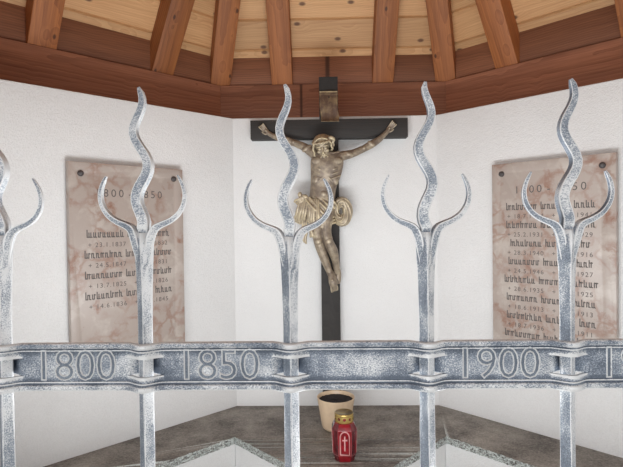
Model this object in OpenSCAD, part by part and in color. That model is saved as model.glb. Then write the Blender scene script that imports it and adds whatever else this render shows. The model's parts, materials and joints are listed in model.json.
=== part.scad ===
// Open-fronted octagonal wayside shrine: rendered walls, stone ledges and altar,
// timber ring and tent roof, crucifix, two marble plaques and a wrought-iron grille.
// Origin on the ground at the centre of the octagon, +Z up, the open front faces -Y.

/* [Plan] */
// Clear width across the flats between the rendered walls
clear_w = 1800; // [1650:10:2000]
// Thickness of the rendered walls
wall_t = 300; // [270:5:400]
// Projection of the floor slab beyond the walls
plinth_out = 50; // [40:5:100]

/* [Heights] */
// Thickness of the floor slab
floor_t = 120; // [60:5:200]
// Height of the stone ledge above the floor
ledge_h = 800; // [600:10:900]
// Height of the walls above the floor
wall_h = 1863; // [1800:1:2000]

/* [Ledges and altar] */
// Depth of the ledges in front of the oblique walls
ledge_d = 220; // [180:5:260]
// Half width of the altar between its inner corners
altar_half = 332; // [290:1:350]
// Thickness of the stone slabs
slab_t = 22; // [15:1:40]
// Overhang of the stone slabs beyond the rendered base
slab_lip = 6; // [2:1:15]

/* [Timber ring] */
// Setback of the wall plate from the inner wall face
plate_recess = 205; // [180:5:220]
// Width of the wall plate
plate_w = 95; // [70:5:95]
// Height of the wall plate
plate_h = 180; // [120:5:200]
// Side of the two square front posts
post_w = 110; // [90:5:130]
// Height of the stone blocks under the posts
pad_h = 150; // [80:10:250]
// Side of the stone blocks under the posts
pad_w = 150; // [140:5:160]
// Height of the edge chamfer of those blocks
pad_bevel = 12; // [4:1:25]

/* [Roof] */
// Pitch of the tent roof
roof_pitch = 53.5; // [48:0.5:58]
// Width of the jack rafters
rafter_w = 85; // [60:5:100]
// Depth of the rafters, square to the roof
rafter_d = 80; // [76:2:110]
// Distance of the jack rafters from the middle of each side
jack_off = 205; // [180:5:240]
// Width of the hip rafters
hip_w = 80; // [60:5:90]
// Radius of the king post over its flats
king_r = 100; // [100:2:130]
// Length that the king post hangs below the hips
king_drop = 90; // [40:10:200]
// Thickness of the boarding
board_t = 24; // [18:1:30]
// Thickness of the boards that close the gaps between the rafters
block_t = 22; // [16:1:30]
// Setback of those boards from the inner face of the wall plate
block_in = 14; // [4:1:30]
// Pitch of the eaves
eaves_pitch = 38; // [32:1:42]
// Overhang of the roof beyond the outer wall face
eaves_out = 200; // [120:10:300]
// Length of the sprockets inward from the outer face of the wall plate
sprocket_in = 190; // [140:10:260]
// Width of the sprockets
sprocket_w = 60; // [50:5:70]
// Height of the sprocket tails at the eaves
sprocket_tail = 80; // [60:5:100]
// Thickness of the shingle covering
cover_t = 32; // [24:1:40]
// Overhang of the shingles beyond the eaves boards
cover_out = 25; // [10:5:40]
// Radius of the metal cap over its flats
cap_r = 130; // [110:10:180]
// Thickness of the metal cap
cap_t = 4; // [3:1:8]

/* [Crucifix] */
// Offset of the cross from the middle of the back wall
cross_x = -20; // [-40:1:0]
// Width of the cross timbers
cross_w = 67; // [55:1:75]
// Thickness of the cross timbers
cross_t = 45; // [36:1:60]
// Height of the cross above the ledge
cross_h = 1195; // [1150:5:1250]
// Length of the crossbeam
beam_l = 562; // [520:2:620]
// Distance of the middle of the crossbeam below the top of the cross
beam_drop = 184; // [170:1:200]
// Height of the titulus
titulus_h = 108; // [80:2:120]
// Width of the titulus
titulus_w = 64; // [50:1:66]
// Thickness of the titulus
titulus_t = 6; // [4:1:10]
// Distance of the titulus below the top of the cross
titulus_drop = 54; // [30:1:60]
// Height of the figure from crown to toes
figure_h = 572; // [520:1:580]

/* [Plaques] */
// Width of the marble plaques
plaque_w = 358; // [300:2:380]
// Height of the marble plaques
plaque_h = 626; // [560:2:660]
// Thickness of the marble plaques
plaque_t = 20; // [12:1:30]
// Height of the top of the plaques above the ledge
plaque_top = 856; // [800:2:900]
// Shift of the plaques towards the front
plaque_shift = 30; // [0:1:40]
// Gap between plaque and wall at the spacers
plaque_gap = 8; // [4:1:15]
// Distance of the bolts from the plaque's edges
bolt_in = 33; // [25:1:50]
// Radius of the bolt heads
bolt_r = 9; // [8:1:14]
// Height of the bolt heads
bolt_h = 9; // [5:1:12]

/* [Grille] */
// Position of the grille in front of the middle of the octagon
grille_y = 380; // [340:1:430]
// Widest spacing of the upright bars
bar_gap_max = 154; // [140:1:170]
// Distance of the outermost bars from the walls, before the shift
bar_end = 69; // [66:0.5:80]
// Shift of the upright bars to the left
bar_shift = 10; // [0:1:12]
// Side of the square bars, set diagonally
bar_s = 12; // [10:0.5:14]
// Height of the middle of the band above the floor
band_z = 1311; // [1250:1:1350]
// Height of the band
band_h = 52; // [46:1:60]
// Height of each rim of the band
rim_h = 9; // [7:1:13]
// Thickness of the web of the band
web_t = 4; // [3:0.5:5]
// Height that the rims stand proud of the web
rim_out = 2.5; // [1.5:0.5:4]
// Height of the slit strip that passes behind the bars
slit_h = 20; // [16:1:22]
// Half length of the bulges that let the bars through
bulge_l = 20; // [18:1:40]
// Gap between a bar and the band
bar_play = 0.3; // [0.3:0.1:0.6]
// Height of the lower rail above the floor
rail_z = 90; // [60:5:200]
// Width of the lower rail
rail_w = 40; // [34:1:50]
// Thickness of the lower rail
rail_t = 8; // [6:1:10]
// Length that the bars pass below the lower rail
bar_below = 45; // [20:1:50]
// Height of the forks above the middle of the band
fork_z = 149; // [140:1:180]
// Height of the spikes above the forks
spike_h = 155; // [130:1:180]
// Sideways swing of the wavy spikes
spike_wave = 8; // [4:0.5:10]
// Reach of the horns on each side
horn_r = 50; // [42:1:50]
// Height of the tips of the horns above the fork
horn_h = 56; // [45:1:65]
// Thickness of the horns at the fork
horn_t = 10; // [8:0.5:11]
// Thickness of the blunt tips of spikes and horns
tip_t = 4.4; // [3:0.2:6]
// Length over which a bar widens below its fork
flare_h = 60; // [30:5:80]

/* [Votive things] */
// Width of the lantern over its flats
lantern_w = 70; // [60:1:90]
// Height of the lantern's cup
lantern_h = 118; // [90:1:140]
// Height of the lantern's lid
lid_h = 38; // [28:1:45]
// Radius of the lantern lid
lid_r = 28; // [22:1:29]
// Distance of the lantern in front of the back wall
lantern_y = 418; // [380:1:440]
// Radius of the flower pot at the rim
pot_r = 62; // [50:1:70]
// Height of the flower pot
pot_h = 105; // [85:1:120]
// Wall of the flower pot
pot_wall = 4; // [3:0.5:7]
// Distance of the flower pot in front of the back wall
pot_y = 205; // [160:1:230]

/* [Hidden] */
$fn = 48;

// Sides are counted anticlockwise from the back: 0 back, 2 left, 4 front, 6 right
SIDES = 8;
turn = 360 / SIDES;
half_turn = turn / 2;
joint = 0.3;
big = 4000;
half_tan = tan(half_turn);

clear_r = clear_w / 2;
outer_r = clear_r + wall_t;
ledge_z = floor_t + ledge_h;
wall_z = floor_t + wall_h;
plate_r = clear_r + plate_recess;
plate_out = plate_r + plate_w;
plate_z = wall_z + plate_h;

// The roof planes as heights over the distance from the middle of the octagon
pitch_tan = tan(roof_pitch);
eaves_tan = tan(eaves_pitch);
rafter_v = rafter_d / cos(roof_pitch);
board_v = board_t / cos(roof_pitch);
function low_z(r) = plate_z + (plate_r - r) * pitch_tan;
function deck_z(r) = low_z(r) + rafter_v;
function deck_top(r) = deck_z(r) + board_v;
eaves_r = outer_r + eaves_out;
sprocket_r = plate_out - sprocket_in;
function eaves_z(r) = deck_top(sprocket_r) - (r - sprocket_r) * eaves_tan;
function eaves_top(r) = eaves_z(r) + board_t / cos(eaves_pitch);
foot_r = min(plate_out, plate_r + rafter_d / sin(roof_pitch));
panel_r = 30;
corner_cos = cos(half_turn);

// Ledge and altar plan: both slab edges run at 45 degrees
function edge_a(lip) = (clear_r - ledge_d + lip) * sqrt(2);
function edge_c(lip) = edge_a(0) - 2 * altar_half + lip * sqrt(2);
function inner_corner(lip) = [-(edge_a(lip) - edge_c(lip)) / 2, (edge_a(lip) + edge_c(lip)) / 2];
wall_corner = [-clear_r * half_tan, clear_r];
side_corner = [-clear_r, clear_r * half_tan];

cross_y = clear_r - cross_t;
band_mid = floor_t + band_z;
fork_top = band_mid + fork_z;
bar_d = bar_s / sqrt(2);
bulge_out = bar_d + bar_play;
span = clear_w;

// An odd number of bays leaves one in the middle
bays = 2 * ceil(((span - 2 * bar_end) / bar_gap_max - 1) / 2) + 1;
bar_gap = (span - 2 * bar_end) / bays;

module on_side(k) {
    rotate([0, 0, k * turn]) children();
}

module on_corner(k) {
    rotate([0, 0, (k + 0.5) * turn]) children();
}

// One mitred side of an octagonal ring, its ends shortened by a joint
module side_prism(r_in, r_out, h, cut = 0) {
    linear_extrude(h) polygon([
        [-r_in * half_tan + cut, r_in], [r_in * half_tan - cut, r_in],
        [r_out * half_tan - cut, r_out], [-r_out * half_tan + cut, r_out]
    ]);
}

// Octagonal prism with its flats on the sides
module octagon(r, h) {
    rotate([0, 0, half_turn]) cylinder(r = r / corner_cos, h = h, $fn = SIDES);
}

module mirror_x(left) {
    if (left) children();
    else mirror([1, 0, 0]) children();
}

// Side walls end square at the front
module side_wall() {
    end = outer_r * half_tan;
    rotate([0, 0, 90]) linear_extrude(wall_h) polygon([
        [-end, clear_r], [clear_r * half_tan, clear_r], [end, outer_r], [-end, outer_r]
    ]);
}

module floor_slab() {
    color("#b9b6ae") octagon(outer_r + plinth_out, floor_t);
}

module rendered_wall(k) {
    color("#e2e1dd") translate([0, 0, floor_t]) {
        if (k == 2) side_wall();
        else if (k == 6) mirror([1, 0, 0]) side_wall();
        else on_side(k) side_prism(clear_r, outer_r, wall_h);
    }
}
module wall_back() { rendered_wall(0); }
module wall_back_left() { rendered_wall(1); }
module wall_back_right() { rendered_wall(7); }
module wall_left() { rendered_wall(2); }
module wall_right() { rendered_wall(6); }

module ledge_plan(lip) {
    polygon([
        wall_corner, side_corner,
        [-clear_r, edge_a(lip) - clear_r], inner_corner(lip)
    ]);
}

module altar_plan(lip) {
    c = inner_corner(lip);
    polygon([
        wall_corner, c, [0, edge_c(lip)], [-c[0], c[1]], [-wall_corner[0], wall_corner[1]]
    ]);
}

module ledge_base(left) {
    color("#e2e1dd") mirror_x(left) translate([0, 0, floor_t])
        linear_extrude(ledge_h - slab_t) ledge_plan(slab_lip);
}
module ledge_base_left() { ledge_base(true); }
module ledge_base_right() { ledge_base(false); }

module altar_base() {
    color("#e2e1dd") translate([0, 0, floor_t])
        linear_extrude(ledge_h - slab_t) altar_plan(slab_lip);
}

module ledge_slab(left) {
    color("#6b625a") mirror_x(left) translate([0, 0, ledge_z - slab_t])
        linear_extrude(slab_t) ledge_plan(0);
}
module ledge_slab_left() { ledge_slab(true); }
module ledge_slab_right() { ledge_slab(false); }

module altar_slab() {
    color("#6b625a") translate([0, 0, ledge_z - slab_t]) linear_extrude(slab_t) altar_plan(0);
}

module wall_plate(k) {
    color("#70422f") on_side(k) translate([0, 0, wall_z])
        side_prism(plate_r, plate_out, plate_h, joint);
}
module wall_plate_back() { wall_plate(0); }
module wall_plate_back_left() { wall_plate(1); }
module wall_plate_back_right() { wall_plate(7); }
module wall_plate_left() { wall_plate(2); }
module wall_plate_right() { wall_plate(6); }
module canopy_plates() {
    for (k = [3, 4, 5]) wall_plate(k);
}

// The posts stand under the two front corners of the timber ring
post_y = -(plate_r + plate_w / 2);
post_x = -post_y * half_tan;
module post(left) {
    color("#7d4b33") mirror_x(left)
        translate([-post_x - post_w / 2, post_y - post_w / 2, floor_t + pad_h])
            cube([post_w, post_w, wall_z - floor_t - pad_h]);
}
module post_left() { post(true); }
module post_right() { post(false); }

module post_block() {
    module stone(w, h) { translate([-w / 2, -w / 2, 0]) cube([w, w, h]); }
    translate([-post_x, post_y, floor_t]) hull() {
        stone(pad_w, pad_h - pad_bevel);
        stone(pad_w - 2 * pad_bevel, pad_h);
    }
}
module post_blocks() {
    color("#8b857c") {
        post_block();
        mirror([1, 0, 0]) post_block();
    }
}

// A profile drawn as distance and height, extruded across the middle of a side
module across(w) {
    rotate([90, 0, 90]) translate([0, 0, -w / 2]) linear_extrude(w) children();
}

// Plan of one side, short of the half thickness of the hips
module side_wedge(r_far) {
    near = hip_w / 2 / sin(half_turn) + joint;
    far_x = (r_far - near) * half_tan;
    linear_extrude(big) polygon([[0, near], [far_x, r_far], [-far_x, r_far]]);
}

module jack_rafter(side_x) {
    r_end = (jack_off - rafter_w / 2) / half_tan;
    intersection() {
        translate([side_x, 0, 0]) across(rafter_w) polygon([
            [plate_r, plate_z], [foot_r, plate_z], [foot_r, max(plate_z, deck_z(foot_r))],
            [r_end, deck_z(r_end)], [r_end, low_z(r_end)]
        ]);
        side_wedge(plate_out + 1);
    }
}
module jack_rafters() {
    color("#8f5a38") for (k = [0 : SIDES - 1]) on_side(k) {
        jack_rafter(-jack_off);
        jack_rafter(jack_off);
    }
}

// The hip's flat top lies below the ridge of the boarding by its own half width
hip_drop = hip_w / 2 * sin(half_turn) * pitch_tan;
module hip_rafter() {
    function at(r, z) = [r / corner_cos, z];
    top_r = king_r * corner_cos;
    out_r = foot_r - hip_w / 2 * sin(half_turn);
    across(hip_w) polygon([
        at(plate_r, plate_z), at(out_r, plate_z), at(out_r, max(plate_z, deck_z(out_r) - hip_drop)),
        at(top_r, deck_z(top_r) - hip_drop), at(top_r, low_z(top_r))
    ]);
}
module hip_rafters() {
    color("#8f5a38") for (k = [0 : SIDES - 1]) on_corner(k) hip_rafter();
}

module king_post() {
    bottom = low_z(king_r * corner_cos) - king_drop;
    color("#7d4b33") translate([0, 0, bottom])
        cylinder(r = (king_r - joint) / corner_cos, h = deck_z(king_r / corner_cos) - bottom - 1,
                 $fn = SIDES);
}

// Boards on edge on the wall plate, between the rafters, up to the boarding
block_r = plate_r + block_in;
module block_board(x0, x1) {
    across_mid = (x0 + x1) / 2;
    translate([across_mid, 0, 0]) across(x1 - x0 - 2 * joint) polygon([
        [block_r, plate_z], [block_r + block_t, plate_z],
        [block_r + block_t, deck_z(block_r + block_t)], [block_r, deck_z(block_r)]
    ]);
}
module blocking_boards() {
    inner = jack_off - rafter_w / 2;
    outer = jack_off + rafter_w / 2;
    corner = block_r * half_tan - hip_w / 2 / corner_cos;
    color("#7a4c34") for (k = [0 : SIDES - 1]) on_side(k) {
        block_board(-inner, inner);
        block_board(outer, corner);
        block_board(-corner, -outer);
    }
}

// One sloping panel of an octagonal roof with plumb edges, from r0 out to r1
module roof_panel(r0, z0, r1, z1, v) {
    x0 = r0 * half_tan - joint;
    x1 = r1 * half_tan - joint;
    polyhedron(
        points = [
            [-x0, r0, z0], [x0, r0, z0], [x1, r1, z1], [-x1, r1, z1],
            [-x0, r0, z0 + v], [x0, r0, z0 + v], [x1, r1, z1 + v], [-x1, r1, z1 + v]
        ],
        faces = [[0, 1, 2, 3], [7, 6, 5, 4], [0, 4, 5, 1], [1, 5, 6, 2], [2, 6, 7, 3], [3, 7, 4, 0]]
    );
}
module roof_boarding() {
    color("#b9915f") for (k = [0 : SIDES - 1]) on_side(k)
        roof_panel(panel_r, deck_z(panel_r), plate_out, deck_z(plate_out), board_v);
}
module eaves_boarding() {
    color("#b9915f") for (k = [0 : SIDES - 1]) on_side(k)
        roof_panel(sprocket_r, eaves_z(sprocket_r), eaves_r, eaves_z(eaves_r),
                   board_t / cos(eaves_pitch));
}

// Sprockets lie on the boarding and carry the flared eaves
module sprocket_profile(stretch, drop) {
    function at(r, z) = [r * stretch, z];
    start = sprocket_r + drop / (pitch_tan - eaves_tan);
    polygon([
        at(start, deck_top(start)), at(eaves_r, eaves_z(eaves_r) - drop),
        at(eaves_r, eaves_z(eaves_r) - drop - sprocket_tail), at(plate_out, deck_top(plate_out))
    ]);
}
module sprockets() {
    drop = sprocket_w / 2 * sin(half_turn) * eaves_tan;
    color("#7d4b33") for (k = [0 : SIDES - 1]) {
        on_side(k) for (s = [-1, 1])
            translate([s * jack_off, 0, 0]) across(sprocket_w) sprocket_profile(1, 0);
        on_corner(k) across(sprocket_w) sprocket_profile(1 / corner_cos, drop);
    }
}

// Octagonal solid of revolution from a profile of distances and heights
module octagonal(points) {
    rotate([0, 0, half_turn]) rotate_extrude($fn = SIDES)
        polygon([for (p = points) [p[0] / corner_cos, p[1]]]);
}

cover_v = cover_t / cos(roof_pitch);
cover_ev = cover_t / cos(eaves_pitch);
cover_r = eaves_r + cover_out;
// Distance at which the two outer slopes of the covering meet
break_r = (deck_top(0) + cover_v - eaves_top(0) - cover_ev) / (pitch_tan - eaves_tan);
module shingle_covering() {
    color("#6a5c4e") octagonal([
        [panel_r, deck_top(panel_r)], [sprocket_r, deck_top(sprocket_r)],
        [sprocket_r, eaves_top(sprocket_r)], [cover_r, eaves_top(cover_r)],
        [cover_r, eaves_top(cover_r) + cover_ev], [break_r, deck_top(break_r) + cover_v],
        [panel_r, deck_top(panel_r) + cover_v]
    ]);
}

module apex_cap() {
    function z(r) = deck_top(r) + cover_v + 2 * joint;
    v = cap_t / cos(roof_pitch);
    color("#5f6367") octagonal([
        [0, z(0)], [cap_r, z(cap_r)], [cap_r, z(cap_r) + v], [0, z(0) + v]
    ]);
}

// Cross: the two timbers are halved into each other
beam_mid = ledge_z + cross_h - beam_drop;
module cross_upright() {
    color("#3a3836") difference() {
        translate([cross_x - cross_w / 2, cross_y, ledge_z]) cube([cross_w, cross_t, cross_h]);
        translate([cross_x - cross_w, cross_y - 1, beam_mid - cross_w / 2 - joint])
            cube([2 * cross_w, cross_t / 2 + 1 + joint, cross_w + 2 * joint]);
    }
}
module cross_beam() {
    color("#3a3836") difference() {
        translate([cross_x - beam_l / 2, cross_y, beam_mid - cross_w / 2])
            cube([beam_l, cross_t, cross_w]);
        translate([cross_x - cross_w / 2 - joint, cross_y + cross_t / 2, beam_mid - cross_w])
            cube([cross_w + 2 * joint, cross_t, 2 * cross_w]);
    }
}

titulus_z = ledge_z + cross_h - titulus_drop - titulus_h / 2;
module titulus() {
    roll = titulus_t;
    color("#7a6a52") translate([cross_x, cross_y, titulus_z]) {
        translate([-titulus_w / 2, -titulus_t, -titulus_h / 2])
            cube([titulus_w, titulus_t, titulus_h - roll]);
        translate([-titulus_w / 2, -roll, titulus_h / 2 - roll]) rotate([0, 90, 0])
            cylinder(r = roll, h = titulus_w);
    }
}

// Figure: drawn in millimetres from the crossing of the timbers, x across, -y to the front and
// z up, and brought from its drawn height to the height that is set.
LIMB_SIDES = 12;
FOLDS = 7;

function at(knot) = [knot[0], knot[1], knot[2]];
function mix(a, b, t) = a + (b - a) * t;

// A skin over rings of points, closed at both ends
module skin(rings) {
    n = len(rings[0]);
    last = len(rings) - 1;
    polyhedron(
        points = [for (ring = rings) each ring],
        faces = concat(
            [[for (j = [n - 1 : -1 : 0]) j]],
            [for (i = [0 : last - 1], j = [0 : n - 1])
                let (a = n * i, b = (j + 1) % n) [a + j, a + b, a + n + b, a + n + j]],
            [[for (j = [0 : n - 1]) n * last + j]]
        )
    );
}
// A limb or fold through knots [x, y, z, radius], rounded at both ends
module limb(knots, sides = LIMB_SIDES) {
    last = len(knots) - 1;
    function way(i) = at(knots[min(i + 1, last)]) - at(knots[max(i - 1, 0)]);
    function out(i) = let (u = cross(way(i), [0, 1, 0])) u / norm(u);
    function up(i) = let (v = cross(out(i), way(i))) v / norm(v);
    skin([for (i = [0 : last]) [for (k = [0 : sides - 1])
        at(knots[i]) - knots[i][3] * (out(i) * cos(360 * k / sides) + up(i) * sin(360 * k / sides))]]);
    for (knot = [knots[0], knots[last]]) oval(at(knot), knot[3] * [1, 1, 1] * 0.98, sides);
}
module oval(middle, half, sides = 16) {
    translate(middle) scale(half) sphere(1, $fn = sides);
}

// Rings of the trunk: height, middle x and y, half width and half depth
trunk = [
    [-288, -27, -38, 40, 22], [-262, -27, -38, 46, 26], [-230, -26, -38, 45, 23],
    [-199, -19, -38, 48, 25], [-180, -14, -40, 54, 29], [-152, -10, -42, 57, 30],
    [-128, -8, -43, 59, 30], [-110, -8, -42, 57, 26], [-96, -10, -42, 46, 20],
    [-86, -14, -44, 20, 15]
];
left_arm = [
    [-30, -42, -112, 22], [-62, -34, -89, 16.5], [-92, -28, -66, 13], [-124, -22, -52, 10.5],
    [-150, -19, -44, 11], [-205, -12, -22, 7], [-226, -9.2, -6, 9], [-245, -12, 13, 5.5]
];
right_arm = [
    [14, -42, -116, 22], [44, -34, -96, 16.5], [78, -28, -86, 13], [122, -22, -67, 10.5],
    [150, -19, -55, 11], [198, -12, -22, 7], [218, -9.2, -2, 9], [237, -12, 17, 5.5]
];
left_leg = [
    [-46, -38, -262, 26], [-47, -45, -310, 25], [-48, -50, -360, 21], [-51, -54, -404, 17],
    [-45, -42, -440, 16], [-33, -34, -475, 13], [-18, -27, -505, 10.5], [-8, -24, -526, 11],
    [-1, -30, -552, 11], [7, -25, -581, 7]
];
right_leg = [
    [-8, -40, -270, 26], [-4, -46, -315, 25], [3, -50, -365, 21], [8, -52, -410, 17],
    [12, -40, -445, 16], [14, -31, -478, 13], [17, -20, -508, 10], [21, -14, -530, 11],
    [20, -9.2, -562, 9]
];
crown_z = -16;
toes = left_leg[len(left_leg) - 1];
drawn_h = crown_z - (toes[2] - toes[3]);

module bowed_head() {
    translate([-22, -54, -60]) rotate([0, -9, 0]) rotate([0, 0, -6]) rotate([24, 0, 0]) {
        oval([0, 5, 8], [30, 36, 33]);
        oval([0, -9, -12], [21, 22, 29]);
        oval([0, -18, -37], [11, 11, 11], 12);
        oval([0, -27, 5.5], [19, 5, 4], 12);
        oval([0, -33, -11], [3.6, 6, 9], 12);
        for (s = [-1, 1]) oval([s * 23, 5, -8], [11, 19, 30]);
        translate([0, 1, 17]) scale([0.85, 1, 1]) rotate_extrude($fn = 24)
            translate([37, 0]) circle(4.5, $fn = 8);
        limb([[-30, 4, -14, 7], [-36, 0, -34, 7], [-35, -6, -54, 6], [-28, -8, -68, 4]], 8);
    }
    limb([[-10, -42, -104, 20], [-16, -44, -90, 16], [-20, -46, -74, 15]]);
}
// The cloth is knotted and gathered on one side and rolled to a loop on the other
module loincloth() {
    oval([-62, -42, -290], [50, 20, 46]);
    oval([-26, -46, -278], [38, 22, 40]);
    oval([-90, -44, -300], [28, 14, 38]);
    oval([-100, -46, -246], [13, 12, 12], 12);
    oval([-106, -48, -235], [9, 10, 9], 12);
    for (i = [0 : FOLDS - 1]) {
        top = mix([-100, -50, -246], [-22, -58, -246], i / (FOLDS - 1));
        low = mix([-116, -42, -320], [-28, -60, -340], i / (FOLDS - 1));
        belly = mix(top, low, 0.5) - [0, 4, 0];
        limb([[each top, 5], [each belly, 7.5], [each low, 9]], 8);
    }
    limb([[-100, -50, -240, 6], [-60, -62, -238, 6], [-18, -66, -244, 5.5], [18, -54, -252, 5]], 8);
    limb([[-92, -46, -316, 8], [-93, -44, -360, 7], [-91, -42, -402, 5.5]], 8);
    limb([[-64, -60, -336, 9], [-63, -62, -386, 7]], 8);
    translate([44, -28, -294]) rotate([90, 0, 0]) scale([0.66, 1, 0.8]) rotate_extrude($fn = 24)
        translate([32, 0]) circle(19, $fn = 10);
}
module corpus() {
    sides = [for (k = [0 : 19]) 360 * k / 20];
    color("#8f8271") translate([cross_x, cross_y, beam_mid]) scale(figure_h / drawn_h) {
        skin([for (r = trunk) [for (a = sides) [r[1] - r[3] * cos(a), r[2] + r[4] * sin(a), r[0]]]]);
        for (s = [-1, 1]) {
            oval([-9 + s * 24, -57, -125], [29, 16, 20]);
            limb([[-14, -60, -168, 6], [-15 + s * 18, -58, -186, 7],
                  [-16 + s * 33, -48, -207, 6]], 8);
        }
        limb(left_arm);
        limb(right_arm);
        limb(left_leg);
        limb(right_leg);
        for (nail = [[-226, -17, -6], [218, -17, -2], [-4, -37, -540]])
            oval(nail, [3.8, 4, 3.8], 8);
        bowed_head();
        loincloth();
    }
}

plaque_back = clear_r - plaque_gap;
plaque_mid = plaque_top - plaque_h / 2 + ledge_z;
// On both oblique walls the plaque is moved towards the front
module on_oblique(left) {
    mirror_x(left) on_side(1) translate([-plaque_shift, plaque_back, plaque_mid]) children();
}
module plaque(left) {
    color("#cbb6a6") on_oblique(left)
        translate([-plaque_w / 2, -plaque_t, -plaque_h / 2]) difference() {
            cube([plaque_w, plaque_t, plaque_h]);
            for (x = [bolt_in, plaque_w - bolt_in], z = [bolt_in, plaque_h - bolt_in])
                translate([x, -1, z]) rotate([-90, 0, 0]) cylinder(r = bolt_r / 2 + joint,
                                                                   h = plaque_t + 2);
        }
}
module plaque_left() { plaque(true); }
module plaque_right() { plaque(false); }

// Bolt with a domed head, a shank through the plaque and a spacer to the wall
module plaque_bolt() {
    rotate([90, 0, 0]) rotate_extrude() polygon([
        [0, 0], [bolt_r, 0], [bolt_r, plaque_gap], [bolt_r / 2, plaque_gap],
        [bolt_r / 2, plaque_gap + plaque_t], [bolt_r, plaque_gap + plaque_t],
        [bolt_r * 0.9, plaque_gap + plaque_t + bolt_h * 0.6],
        [bolt_r * 0.5, plaque_gap + plaque_t + bolt_h * 0.92],
        [0, plaque_gap + plaque_t + bolt_h]
    ]);
}
module plaque_bolts() {
    dx = plaque_w / 2 - bolt_in;
    dz = plaque_h / 2 - bolt_in;
    color("#4a4240") for (left = [true, false]) on_oblique(left)
        for (x = [-dx, dx], z = [-dz, dz])
            translate([x, plaque_gap, z]) plaque_bolt();
}

// Every bar was forged and set by hand. From bar to bar these follow each other again and again:
// its place beside the even spacing, the lean of its tip, the rise of its fork and where its
// waves begin, in degrees
bar_set = [0, 2, -3, -9, -4, 4, 0, -1, 3, -2, 1, 0];
tip_lean = [2, -4, 1, -14, -3, -3, 1, 5, -2, 3, -3, 1];
fork_rise = [0, 1, -2, 2, 3, -3, 0, 1, -1, 2, 0, -2];
wave_start = [227, 122, 232, 227, 227, 232, 122, 215, 227, 122, 232, 215];
function by_hand(list, i) = list[i % len(list)];
function bar_x(i) = (i - bays / 2) * bar_gap - bar_shift + by_hand(bar_set, i);

// Sideways offset of a strip that bulges round every bar, as a smooth bump
BUMP_STEPS = 8;
function bump(u) = 0.5 + 0.5 * cos(180 * u);
function strip_line(y, out) = concat(
    [[-span / 2, y]],
    [for (i = [0 : bays], j = [0 : BUMP_STEPS])
        let (u = 2 * j / BUMP_STEPS - 1) [bar_x(i) + u * bulge_l, y + out * bump(u)]],
    [[span / 2, y]]
);
function backwards(list) = [for (i = [len(list) - 1 : -1 : 0]) list[i]];
module strip(y0, y1, out, z, h) {
    translate([0, -grille_y, z]) linear_extrude(h)
        polygon(concat(strip_line(y0, out), backwards(strip_line(y1, out))));
}
// Between two slits the band passes behind the bars, and above and below in front of them
module grille_band() {
    low = band_mid - band_h / 2;
    top = band_mid + band_h / 2;
    slit_low = band_mid - slit_h / 2;
    slit_top = band_mid + slit_h / 2;
    web = web_t / 2;
    rim = web + rim_out;
    color("#6c788a") union() {
        strip(-web, web, bulge_out + web, slit_low, slit_h);
        for (z = [low + rim_h, slit_top]) strip(-web, web, -bulge_out - web, z, slit_low - low - rim_h);
        for (z = [low, top - rim_h]) strip(-rim, web, -bulge_out - web, z, rim_h);
    }
}

module grille_rail() {
    color("#6c788a") difference() {
        translate([-span / 2, -grille_y - rail_w / 2, floor_t + rail_z])
            cube([span, rail_w, rail_t]);
        for (i = [0 : bays])
            translate([bar_x(i), -grille_y, floor_t + rail_z - 1])
                cylinder(r = bar_d + bar_play, h = rail_t + 2, $fn = 4);
    }
}

// A tapering square bar swept along points in the plane of the grille
module forged(points, sizes) {
    last = len(points) - 1;
    function dir(i) = let (d = points[min(i + 1, last)] - points[max(i - 1, 0)]) d / norm(d);
    function ring(i) = let (n = [-dir(i)[1], dir(i)[0]] * sizes[i], p = points[i]) [
        [p[0] + n[0], sizes[i], p[1] + n[1]], [p[0] + n[0], -sizes[i], p[1] + n[1]],
        [p[0] - n[0], -sizes[i], p[1] - n[1]], [p[0] - n[0], sizes[i], p[1] - n[1]]
    ];
    polyhedron(
        points = [for (i = [0 : last]) each ring(i)],
        faces = concat(
            [[0, 1, 2, 3]],
            [for (i = [0 : last - 1], j = [0 : 3])
                let (a = 4 * i, b = (j + 1) % 4) [a + j, a + 4 + j, a + 4 + b, a + b]],
            [[4 * last + 3, 4 * last + 2, 4 * last + 1, 4 * last]]
        )
    );
}

// Points on the curve that five handles span
function curve(h, t) = let (u = 1 - t)
    h[0] * pow(u, 4) + h[1] * 4 * pow(u, 3) * t + h[2] * 6 * u * u * t * t
    + h[3] * 4 * u * pow(t, 3) + h[4] * pow(t, 4);

SPIKE_STEPS = 18;
SPIKE_TURNS = 2;
HORN_STEPS = 10;
HORN_LOW = 16;
HORN_LEAN = 0.35;
horn_handles = [
    [horn_r * 0.06, -HORN_LOW], [horn_r * 0.28, horn_h * 0.14], [horn_r * 1.08, horn_h * 0.11],
    [horn_r, horn_h * 0.68], [horn_r * 0.78, horn_h]
];

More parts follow.
